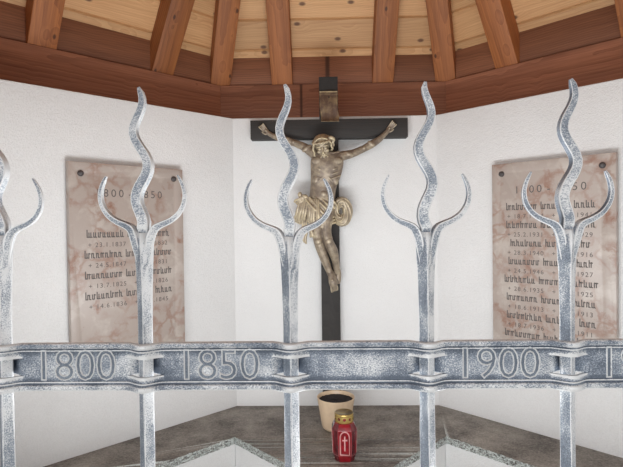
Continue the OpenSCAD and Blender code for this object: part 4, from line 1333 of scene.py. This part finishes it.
def legs():
    forms = [limb((-46, -38, -262, 26), (-47, -45, -310, 25.5), (-46, -50, -355, 21.5),
                  (-42, -54, -401, 17), (-31, -44, -436, 17), (-19, -35, -470, 15.5),
                  (-8, -28, -500, 12.5), (0, -25, -517, 12)),
             limb((-8, -40, -270, 26), (-12, -46, -315, 24), (-16, -50, -362, 20),
                  (-7, -54, -401, 17), (8.5, -42, -437, 18), (17.5, -32, -470, 13.5),
                  (21, -22, -498, 12), (23, -16, -515, 11.5)),
             lump((-42, -67, -400), (11, 7, 12)), lump((-6, -66, -401), (11, 7, 12)),
             lump((-31, -37, -440), (14, 12, 24), -16), lump((10, -34, -440), (16, 13, 24), -16),
             lump((-46, -62, -338), (16, 9, 34)), lump((-15, -61, -340), (15, 9, 32)),
             limb((-6, -23, -506, 11.5), (3, -28, -524, 13.5), (8, -30, -546, 16),
                  (11, -26, -566, 12)),
             limb((22, -18, -500, 12), (26, -14, -520, 12), (26, -12, -543, 10.5),
                  (25, -11, -554, 7)),
             lump((5, -44.5, -538), (3.8, 3, 3.8))]
    for i in range(5):
        forms.append(limb((0 + i * 5.4, -36 + i, -558, 3.4), (2 + i * 5.2, -33 + i, -573 + i, 3.4),
                          (4 + i * 4.8, -27 + i, -582 + i * 1.6, 2.8 if i else 3.8), sides=8))
    return forms


def head():
    """A calm, bowed head with closed eyes and parted hair, on the usual canon of proportions"""
    forms = [lump((0, 4, 6), (27, 34, 31)), lump((0, -9, -12), (21, 22, 29)),
             lump((0, -17, -35), (12, 11, 8)), lump((0, -13, 14), (22, 18, 16))]
    for s in (-1, 1):
        forms += [lump((s * 10.5, -28, 5.5), (10, 4, 3)),
                  lump((s * 9.8, -26.5, -3), (6.6, 4.8, 4)),
                  lump((s * 14, -22, -13), (7, 7, 6)),
                  lump((s * 4, -33.5, -18.5), (2.8, 3.2, 2.4)),
                  limb((s * 15, -27, -4, 0.8), (s * 9.8, -31, -6, 1), (s * 4, -28.5, -4, 0.8),
                       sides=6),
                  limb((s * 1.2, -35, -23, 2), (s * 8, -32, -26, 2), (s * 13, -27, -34, 1.2),
                       sides=6)]
    forms += [limb((0, -30, 4, 2.6), (0, -34, -6, 3), (0, -39, -14, 3.6), (0, -38, -18, 3.8)),
              limb((-8, -29.5, -28, 1), (-3, -33, -26.6, 1.6), (3, -33, -26.6, 1.6),
                   (8, -29.5, -28, 1), sides=6),
              limb((-7, -29.5, -29.6, 1), (0, -33, -30.6, 2.1), (7, -29.5, -29.6, 1), sides=6)]
    for k in range(-6, 7):
        a = math.radians(k * 13)
        out, front = math.sin(a), -math.cos(a)
        low = -50 + abs(k) * 1.6 - (4 if abs(k) == 2 else 0)
        forms.append(lock((19 * out, 8 + 27 * front, -28 + abs(k) * 1.5, 4),
                          (18 * out, 6 + 30 * front, -38, 4),
                          (13 * out, 4 + 29 * front, low, 2), wave=1.2, turns=1.5, start=k))
    for s, low in ((-1, -40), (1, -20)):
        for i in range(15):
            y = -22 + i * 3.9
            z = 38.5 - abs(y - 2) * 0.22
            forms.append(lock((s * 2, y, z, 2.4), (s * 16, y - 1, z - 5, 2.8),
                              (s * 28.5, y - 1, 15, 3.0), (s * 32, y + 1, -6, 3.1),
                              (s * 31, y + 5, low / 2 - 5, 3.0),
                              (s * 26, y * 0.6 + 12, low, 2.2), wave=1.8, turns=4.5,
                              start=i * 1.7))
    forms += [lock((-30, 4, -14, 6), (-36, 0, -34, 6), (-35, -6, -54, 5), (-28, -8, -68, 3)),
              lock((-26, 10, -16, 6), (-30, 8, -38, 6), (-28, 4, -60, 4)),
              lock((24, -8, 22, 5), (35, -12, 26, 7), (41, -10, 14, 6), (36, -8, 2, 5),
                   (38, -6, -8, 4), wave=1.6)]
    for strand in range(3):
        ring = []
        for i in range(49):
            a = math.tau * i / 48
            twist = 5 * a + strand * math.tau / 3
            out = 1 + 0.075 * math.cos(twist)
            ring.append((31.5 * out * math.sin(a), 1 - 37.5 * out * math.cos(a),
                         17 + 2.6 * math.sin(twist) + 2 * math.cos(a)))
        forms.append(drawn_out(ring, [2.3] * len(ring), round_section(7)))
    for i in range(14):
        a = math.tau * (i + 0.4) / 14
        x, y = 33 * math.sin(a), 1 - 39 * math.cos(a)
        rise = 4 if i % 2 else -3
        forms.append(limb((x, y, 18, 1.4), (x * 1.15, y * 1.1, 18 + rise, 0.9), sides=6, steps=2))
    bowed = (moved(-23, -54, -70) @ turned(math.radians(-9), "Y")
             @ turned(math.radians(-6)) @ turned(math.radians(24), "X"))
    placed = [place(form, bowed) for form in forms]
    placed.append(limb((-10, -42, -104, 20), (-16, -44, -90, 16), (-20, -46, -82, 15)))
    return placed


def folds(top, bottom, count, out, r):
    """Raised folds between two edges of a cloth, each edge a pair of end points"""
    made = []
    for i in range(count):
        t = i / (count - 1)
        a = Vector(top[0]).lerp(Vector(top[1]), t)
        b = Vector(bottom[0]).lerp(Vector(bottom[1]), t)
        middle = a.lerp(b, 0.5) + Vector((chance.uniform(-3, 3), -out, 0))
        low = a.lerp(b, 0.82) + Vector((chance.uniform(-4, 4), -out * 0.6, 0))
        end = b + Vector((0, chance.uniform(-2, 2), chance.uniform(-5, 4)))
        made.append(limb((*a, r * 0.7), (*middle, r), (*low, r * 1.15), (*end, r * 0.9), sides=8))
    return made


def rolled_loop():
    """The end of the cloth, rolled to a thick loop, with creases that wind round it"""
    wide, tall = 20, 32
    middle = Vector((41, -30, -297))
    body, girths, outward = [], [], []
    for i in range(49):
        a = math.tau * i / 48
        side = math.cos(a)
        body.append(middle + Vector((wide * side, 0, tall * math.sin(a))))
        girths.append(20.5 - (3 if side > 0 else 11) * side * side)
        outward.append(Vector((side / wide, 0, math.sin(a) / tall)).normalized())
    forms = [drawn_out(body, girths, round_section(14))]
    for crease in range(8):
        path = []
        for i in range(49):
            sway = 0.8 * math.sin(math.tau * i / 48 + crease * 0.6)
            across = math.radians(5 + 25 * crease) + sway
            path.append(body[i] + girths[i] * (math.cos(across) * outward[i]
                                               - Vector((0, math.sin(across), 0))))
        forms.append(drawn_out(path, [2.4] * len(path), round_section(6)))
    return forms


def loincloth():
    """A knotted cloth: a gathered bundle on one side, a looped roll on the other"""
    forms = [lump((-62, -42, -292), (50, 19, 44), -10), lump((-26, -46, -284), (38, 20, 36)),
             lump((-88, -44, -300), (28, 14, 38), -14), lump((-96, -50, -250), (13, 12, 10)),
             lump((-104, -52, -238), (8, 9, 10)), lump((-86, -56, -246), (12, 9, 9), 30)]
    forms += folds(((-100, -54, -250), (-40, -64, -256)), ((-126, -40, -322), (-36, -64, -348)),
                   11, 11, 4.6)
    forms += folds(((-92, -58, -244), (8, -58, -256)), ((-28, -70, -318), (26, -52, -276)),
                   6, 7, 4.2)
    forms += folds(((-104, -44, -256), (-88, -50, -254)), ((-122, -34, -334), (-98, -42, -342)),
                   4, 9, 5.2)
    forms += folds(((-96, -44, -316), (-84, -48, -320)), ((-96, -40, -398), (-85, -42, -406)),
                   3, 3, 4.2)
    forms += folds(((-72, -58, -334), (-54, -62, -338)), ((-70, -60, -384), (-56, -62, -390)),
                   3, 4, 4.6)
    forms += folds(((-96, -58, -244), (-92, -58, -254)), ((-122, -48, -262), (-112, -48, -272)),
                   3, 5, 4)
    forms += folds(((14, -50, -316), (20, -48, -336)), ((-34, -66, -338), (-30, -64, -350)),
                   3, 2, 5)
    forms += rolled_loop()
    return forms


def corpus():
    """The cast figure: all its forms run together into one skin"""
    bare = torso() + arms() + legs()
    gilded = head() + loincloth()
    spots = [(Vector(co), kind) for kind, forms in ((0, bare), (1, gilded))
             for form in forms for co in points_of(form)]
    near = KDTree(len(spots))
    for i, (co, kind) in enumerate(spots):
        near.insert(co, i)
    near.balance()
    piece = join(bare + gilded)
    modify(piece, "REMESH", mode="VOXEL", voxel_size=CAST_VOXEL)
    modify(piece, "SMOOTH", factor=0.5, iterations=2)
    modify(piece, "DECIMATE", ratio=0.45)
    # The relief also gives the bronze a painted highlight on raised forms
    mark_relief(piece, 2, 3.0)
    gilt = [spots[near.find(v.co)[1]][1] for v in piece.data.vertices]
    point_values(piece, "gilt", gilt)
    place(piece, moved(CROSS_X, CROSS_Y, BEAM_Z) @ Matrix.Scale(0.001, 4))
    hand_over(piece, "corpus_bronze", BRONZE, "gilt_bronze", "corpus", angle=70)


def gilt_bronze(name, hollow, body, worn, gold):
    """Cast bronze whose old gilding is left on hair and cloth, brown in hollows; raised forms are
    drawn lighter, partly as worn gilding and partly as a painted highlight
    """
    material, tree, shader = new_material(name, Roughness=0.45, Metallic=0.3)
    at = add(tree, "TexCoord", out="Object")
    relief = add(tree, "Attribute", attribute_name="relief", out="Fac")
    gilt = add(tree, "Attribute", attribute_name="gilt", out="Fac")
    wear = add(tree, "TexNoise", {"Vector": at, "Scale": 38, "Detail": 5, "Roughness": 0.65})
    calm = add(tree, "Math", {0: wear, 1: 0.5, 2: 0.27}, operation="MULTIPLY_ADD")
    # Raised forms drawn lighter: worn gilding and a painted highlight
    raised = add(tree, "Math", {0: relief, 1: 0.32, 2: calm}, operation="MULTIPLY_ADD")
    left = add(tree, "Math", {0: gilt, 1: 0.11, 2: raised}, operation="MULTIPLY_ADD")
    mixed = add(tree, "ValToRGB", {"Fac": left}, stops=[(0.30, hollow), (0.50, body), (0.63, worn),
                                                        (0.78, gold)])
    fine = add(tree, "TexNoise", {"Vector": at, "Scale": 260, "Detail": 3})
    bump = add(tree, "Bump", {"Height": fine, "Strength": 0.3, "Distance": 0.0006})
    feed(tree, shader, {"Base Color": mixed, "Normal": bump})
    return material


CROSS_WOOD = wood("black_stained_oak", ("#353230", "#201e1d"), 0.72, 5, "#1b1918", 0.3, 0.4)
BRONZE = gilt_bronze("worn_gilt_bronze", "#433930", "#7a6d60", "#a59883", "#c8ba99")
SCROLL = gilt_bronze("worn_copper_scroll", "#382c25", "#604b3d", "#8c7759", "#c0ae84")


# Plaques

PLAQUE_H = 0.626
PLAQUE_T = 0.020
PLAQUE_SHIFT = 0.030
PLAQUE_FACE = CLEAR_R - 0.008 - PLAQUE_T
PLAQUE_TOP = 1.776
PLAQUE_Z = PLAQUE_TOP - PLAQUE_H / 2


def plaque_matrix(left):
    """From a plaque drawn upright in X and Z, its face towards -Y, to its oblique wall"""
    side = 1 if left else -1
    return turned(side * TURN) @ moved(-side * PLAQUE_SHIFT, PLAQUE_FACE, PLAQUE_Z)


def cut(mark, x, z, wide, high, lean=0.0):
    """A copy of one straight cut, set at a place on the plaque, leaning in its plane"""
    new = copy_of(mark)
    new.matrix_world = moved(x, 0, z) @ turned(lean, "Y") @ Matrix.Diagonal((wide, 1, high, 1))
    return new


def engraved_row(mark, middle_x, z, height, words):
    """Words of heavy upright stems with slanting ends, two stems a letter, a taller first letter"""
    stem, apart, advance = height * 0.2, height * 0.34, height * 0.86
    strokes = []
    total = (sum(words) + 0.7 * (len(words) - 1)) * advance + len(words) * apart
    x = middle_x - total / 2
    for word in words:
        for k in range(word):
            stems = 3 if k == 0 else 2
            tall = height * (1.5 if k == 0 else chance.choice((1, 1, 1, 1.4)))
            for j in range(stems):
                high = tall if j == 0 else height
                end = chance.choice((stem / 2, height - stem / 2))
                strokes.append(cut(mark, x, z + high / 2, stem, high))
                strokes.append(cut(mark, x + stem * 0.7, z + end, stem * 1.7, stem,
                                   math.radians(35)))
                x += apart
            x += advance - 2 * apart
        x += 0.7 * advance
    return strokes


def plain_dates(century):
    """Two made-up dates with a sign before each"""
    dates = []
    for _ in range(2):
        day, month, year = chance.randint(10, 28), chance.randint(1, 9), chance.randint(10, 49)
        dates.append(f"+ {day}.{month}.{century}{year}")
    return "   ".join(dates)


def plaque(left):
    node = "plaque_left" if left else "plaque_right"
    dress(node, 0.0012, 50, node + "_marble", MARBLE, "marble")
    top = PLAQUE_H / 2
    years = "1 8 0 0  -  1 8 5 0" if left else "1 9 0 0  -  1 9 5 0"
    mark = cube((1, CUT_T, 1))
    letters, strokes = [written(years, 0.020, 0.92, (0, 0, top - 0.088))], []
    first, apart, rows, small = (0.219, 0.0605, 4, 0.022) if left else (0.150, 0.0575, 8, 0.021)
    for row in range(rows):
        down = first + apart * row
        words = (chance.randint(7, 8), chance.randint(5, 6), chance.randint(3, 5))
        strokes += engraved_row(mark, 0, top - down, 0.0155, words)
        dates = plain_dates(18 if left else 19)
        letters.append(written(dates, 0.0118, 1.2, (-0.004, 0, top - down - small)))
    numbers = join(letters)
    modify(numbers, "SOLIDIFY", thickness=CUT_T, offset=0)
    strokes.append(numbers)
    bpy.data.objects.remove(mark)
    cuts = join(strokes)
    place(cuts, plaque_matrix(left))
    hand_over(cuts, node + "_cuts", CUT_GREY, "marble")


def rose_marble(name, ground, rust, pale):
    """Honed marble: warm beige ground, soft clouds of rust, pale patches and a few rust veins"""
    material, tree, shader = new_material(name, Roughness=0.4)
    at = add(tree, "TexCoord", out="Object")
    warp = add(tree, "TexNoise", {"Vector": at, "Scale": 14, "Detail": 9, "Roughness": 0.62},
               out="Color")
    bent = add(tree, "VectorMath", {0: warp, 1: (0.08, 0.08, 0.08), 2: at},
               operation="MULTIPLY_ADD")
    cloud = add(tree, "TexNoise", {"Vector": bent, "Scale": 13, "Detail": 5, "Roughness": 0.6})
    body = add(tree, "ValToRGB", {"Fac": cloud},
               stops=[(0.36, pale), (0.48, ground), (0.58, ground), (0.7, rust)])
    edge = add(tree, "TexVoronoi", {"Vector": bent, "Scale": 21}, feature="DISTANCE_TO_EDGE")
    line = add(tree, "MapRange", {"Value": edge, "From Min": 0.0, "From Max": 0.17, "To Min": 0.7,
                                  "To Max": 0})
    broad = add(tree, "TexNoise", {"Vector": at, "Scale": 9, "Detail": 2})
    where = add(tree, "MapRange", {"Value": broad, "From Min": 0.44, "From Max": 0.58})
    seam = add(tree, "Math", {0: line, 1: where}, operation="MULTIPLY")
    final = add(tree, "Mix", {0: seam, 6: body, 7: rust}, data_type="RGBA", out=2)
    bump = add(tree, "Bump", {"Height": cloud, "Strength": 0.1, "Distance": 0.0005})
    feed(tree, shader, {"Base Color": final, "Normal": bump})
    return material


def flat_paint(name, shade, rough, speck_mm, change):
    """An even coat or cast surface with a faint speckle"""
    material, tree, shader = new_material(name, Roughness=rough)
    at = add(tree, "TexCoord", out="Object")
    speck = add(tree, "TexNoise", {"Vector": at, "Scale": 1000 / speck_mm, "Detail": 3})
    value = add(tree, "MapRange", {"Value": speck, "From Min": 0.3, "From Max": 0.7,
                                   "To Min": 1 - change, "To Max": 1 + change})
    toned = add(tree, "HueSaturation", {"Color": shade, "Value": value})
    bump = add(tree, "Bump", {"Height": speck, "Strength": 0.25, "Distance": 0.0006})
    feed(tree, shader, {"Base Color": toned, "Normal": bump})
    return material


MARBLE = rose_marble("honed_rose_marble", "#aca098", "#927060", "#bab1a9")
CUT_GREY = flat_paint("grey_filled_engraving", "#5f5a58", 0.7, 4, 0.12)
BOLT_IRON = flat_paint("blackened_iron_bolt", "#454040", 0.45, 3, 0.15)


# Votive lantern, pot and soil

LANTERN_AT = (0.008, CLEAR_R - 0.418, LEDGE_Z)
LANTERN_H = 0.110
AIR_HOLES = 10
# By how much the four main sides of the cup are drawn wider
FACET = 1.35
POT_AT = (-0.010, CLEAR_R - 0.205, LEDGE_Z)


def turned_body(rings, sides, at=(0, 0, 0)):
    """A body drawn up from ring to ring, radius and height in millimetres, closed at both ends"""
    rings = [(r / 1000, z / 1000) for r, z in rings]
    piece = solid(bpy.ops.mesh.primitive_circle_add, vertices=sides, radius=rings[0][0],
                  fill_type="NGON", location=(0, 0, rings[0][1]), rotation=(0, 0, math.pi / sides))
    pick_all(piece)
    draw_up(rings)
    return place(face_out(piece), moved(*at))


def lantern_cup():
    """A pressed octagonal cup with wide facets in front, an arch and a cross on four of them"""
    rings = [(23.5, 0), (25.2, 1.5), (28, 5.9), (28, 10.6), (32.5, 23.6), (35, 93), (27.5, 109.5)]
    cup = turned_body([(r / CORNER_COS, z) for r, z in rings], 8)
    pick(cup, "VERT", lambda at, way: abs(at.y) > abs(at.x))
    bpy.ops.transform.resize(value=(FACET, 1, 1), center_override=(0, 0, 0))
    pick(cup, "VERT", lambda at, way: abs(at.x) > abs(at.y))
    bpy.ops.transform.resize(value=(1, FACET, 1), center_override=(0, 0, 0))
    pick(cup, "FACE", lambda middle, way: 0.03 < middle.z < 0.085 and abs(way.z) < 0.3)
    bpy.ops.mesh.inset(thickness=0.0025, use_individual=True)
    bpy.ops.mesh.inset(thickness=0.0008, depth=-0.0011, use_individual=True)
    clear()
    arch = [(-12.5, -33), (-12.5, 18), (-10.5, 24.5), (-6, 29.5), (0, 31.5), (6, 29.5),
            (10.5, 24.5), (12.5, 18), (12.5, -33), (-12.5, -33)]
    ridges = []
    for line, r in ((arch, 1.9), ([(0, -22), (0, 20)], 2.0), ([(-7, 8), (7, 8)], 2.0)):
        path = [(x / 1000, -0.0333 - 0.000036 * z, 0.059 + z / 1000) for x, z in line]
        ridges.append(drawn_out(path, [r / 1000] * len(path), round_section(6)))
    front = join(ridges)
    fronts = [place(copy_of(front), turned(k * math.pi / 2)) for k in range(4)]
    bpy.data.objects.remove(front)
    modify(cup, "BEVEL", width=0.0012, segments=3, limit_method="ANGLE",
           angle_limit=math.radians(25))
    neck = turned_body([(24, 0), (24, 17.15)], 24, (0, 0, LANTERN_H - 0.001))
    piece = join([cup] + fronts)
    # This relief drives the glass's pale painted highlight on the pressed edges and ridges
    mark_relief(piece, 0, 1.5)
    mark_relief(neck, 0, 0)
    piece = place(join([piece, neck]), moved(*LANTERN_AT))
    hand_over(piece, "lantern_glass", RED_GLASS, "red_cup", "lantern_cup", angle=40)


def lantern_lid():
    """A pressed lid with a bead and a row of air holes"""
    lid = turned_body([(26.3, 0), (26.8, 0.8), (26.8, 17.4), (25.9, 18.4), (25.9, 19.4), (27, 20.4),
                       (27, 22.6), (26.2, 24), (25, 24.5), (23.8, 23.8), (3, 24)], 40)
    hole = solid(bpy.ops.mesh.primitive_cylinder_add, vertices=12, radius=0.0045, depth=0.008,
                 rotation=(math.pi / 2, 0, 0))
    place(hole, moved(0, -0.0268, 0.0105))
    work_in(lid, join([hole] + [place(copy_of(hole), turned(k * math.tau / AIR_HOLES))
                                for k in range(1, AIR_HOLES)]))
    place(lid, moved(*LANTERN_AT) @ moved(0, 0, LANTERN_H))
    hand_over(lid, "lantern_lid_brass", LID_BRASS, "gold_lid", "lantern_lid", angle=40)


def pot():
    piece = turned_body([(35, 0), (39, 1.5), (44, 6), (47, 13.6), (52, 45), (58.5, 85), (61.2, 101),
                         (61.9, 103.6), (61.4, 105), (59.4, 105), (58.6, 103), (56.5, 94),
                         (44, 15), (30, 5)], 48, POT_AT)
    hand_over(piece, "flower_pot_glazed", POT_GLAZE, "glazed_pot", "flower_pot", angle=35)
    soil = turned_body([(31, 6), (43, 16), (56, 94), (40, 94.5), (20, 95), (6, 94.8)], 24, POT_AT)
    pick(soil, "FACE", lambda middle, way: way.z > 0.7)
    bpy.ops.mesh.subdivide(number_cuts=3)
    bpy.ops.transform.vertex_random(offset=0.0012, seed=5)
    clear()
    hand_over(soil, "potting_soil", SOIL, "soil", "pot_soil", angle=60)


def cast_glass(name, deep, clear_red, sides, glint):
    """Pressed red glass: glossy, deep red, with painted shade on the side facets and a pale painted
    highlight on its pressed edges
    """
    material, tree, shader = new_material(name, Roughness=0.12, IOR=1.5, Coat_Weight=0.4)
    at = add(tree, "TexCoord", out="Object")
    cloud = add(tree, "TexNoise", {"Vector": at, "Scale": 70, "Detail": 3})
    mixed = add(tree, "ValToRGB", {"Fac": cloud}, stops=[(0.35, deep), (0.7, clear_red)])
    # The side facets get painted shade
    normal = add(tree, "NewGeometry", out="Normal")
    across = add(tree, "SeparateXYZ", {0: normal}, out="X")
    out = add(tree, "Math", {0: across}, operation="ABSOLUTE")
    side_shade_mask = add(tree, "MapRange", {"Value": out, "From Min": 0.2, "From Max": 0.7, "To Min": 0,
                                   "To Max": 0.85})
    shaded = add(tree, "Mix", {0: side_shade_mask, 6: mixed, 7: sides}, data_type="RGBA", out=2)
    # The pressed edges and ridges get a pale painted highlight
    relief = add(tree, "Attribute", attribute_name="relief", out="Fac")
    edge = add(tree, "MapRange", {"Value": relief, "From Min": 0.12, "From Max": 0.5, "To Min": 0,
                                  "To Max": 0.8})
    final = add(tree, "Mix", {0: edge, 6: shaded, 7: glint}, data_type="RGBA", out=2)
    bump = add(tree, "Bump", {"Height": cloud, "Strength": 0.2, "Distance": 0.001})
    feed(tree, shader, {"Base Color": final, "Normal": bump})
    return material


def lid_metal(name, bright, dull):
    """Brass-coloured tin lid, pressed: satin metal with tarnish, its top faces painted browner as a
    painted dark reflection
    """
    material, tree, shader = new_material(name, Roughness=0.32, Metallic=0.7)
    at = add(tree, "TexCoord", out="Object")
    tarnish = add(tree, "TexNoise", {"Vector": at, "Scale": 60, "Detail": 3})
    # Faces turned up are painted browner: a painted dark reflection, laid over the tarnish noise
    normal = add(tree, "NewGeometry", out="Normal")
    up = add(tree, "SeparateXYZ", {0: normal}, out="Z")
    tarnish_and_dark_top = add(tree, "Math", {0: up, 1: 0.4, 2: tarnish}, operation="MULTIPLY_ADD")
    mixed = add(tree, "ValToRGB", {"Fac": tarnish_and_dark_top}, stops=[(0.5, bright), (0.95, dull)])
    bump = add(tree, "Bump", {"Height": tarnish, "Strength": 0.1, "Distance": 0.0005})
    feed(tree, shader, {"Base Color": mixed, "Normal": bump})
    return material


RED_GLASS = cast_glass("pressed_red_glass", "#6a0f18", "#921a25", "#45131b", "#e6b0ae")
LID_BRASS = lid_metal("brassed_tin_lid", "#c2a765", "#75603f")
POT_GLAZE = flat_paint("cream_glazed_earthenware", "#dcc4a6", 0.35, 14, 0.05)
SOIL = flat_paint("damp_potting_soil", "#2b272a", 0.95, 3, 0.4)


# Studio

# The lamps' slightly cool white
DAYLIGHT = (0.97, 0.985, 1.0)


def lamp(name, at, aim, wide, deep, power):
    clear()
    bpy.ops.object.light_add(type="AREA", location=at)
    light = bpy.context.object
    light.name = name
    light.data.shape = "ELLIPSE"
    light.data.size = wide
    light.data.size_y = deep
    light.data.energy = power
    light.data.color = DAYLIGHT
    light.rotation_euler = (Vector(aim) - Vector(at)).to_track_quat("-Z", "Y").to_euler()
    return light


def studio():
    scene = bpy.context.scene
    scene.view_settings.view_transform = "Standard"
    world = bpy.data.worlds.new("studio")
    scene.world = world
    world.use_nodes = True
    backdrop = world.node_tree.nodes["Background"]
    backdrop.inputs["Color"].default_value = (1, 1, 1, 1)
    backdrop.inputs["Strength"].default_value = 1.0
    lamp("front_softbox", (-1.6, -8.0, 1.2), (0, 0.6, 1.5), 5.0, 5.0, 284)
    lamp("inner_fill", (-0.05, -0.2, 1.16), (0, 0.35, 2.2), 0.8, 0.2, 11)
    clear()
    bpy.ops.mesh.primitive_circle_add(vertices=96, radius=12, fill_type="NGON")
    floor = bpy.context.object
    floor.name = "studio_floor"
    material, tree, shader = new_material("studio_floor_paint", Roughness=0.9)
    feed(tree, shader, {"Base Color": "#dcdad5"})
    floor.data.materials.append(material)


make_camera()
studio()
masonry()
wall_plates()
roof_timbers()
ledge_slabs()
post_timbers()
sprocket_timbers()
shingle_roof()
dress("apex_cap", 0.0015, 20, "lead_cap", LEAD, "sheet_metal")
cross_timbers()
titulus()
corpus()
plaque(True)
plaque(False)
dress("plaque_bolts", 0.0008, 50, "plaque_bolt_domes", BOLT_IRON, "bolt_iron", angle=60)
lantern_cup()
lantern_lid()
pot()
grille_band()
grille_bars()
grille_rail()
chiselled_numbers()

clear()
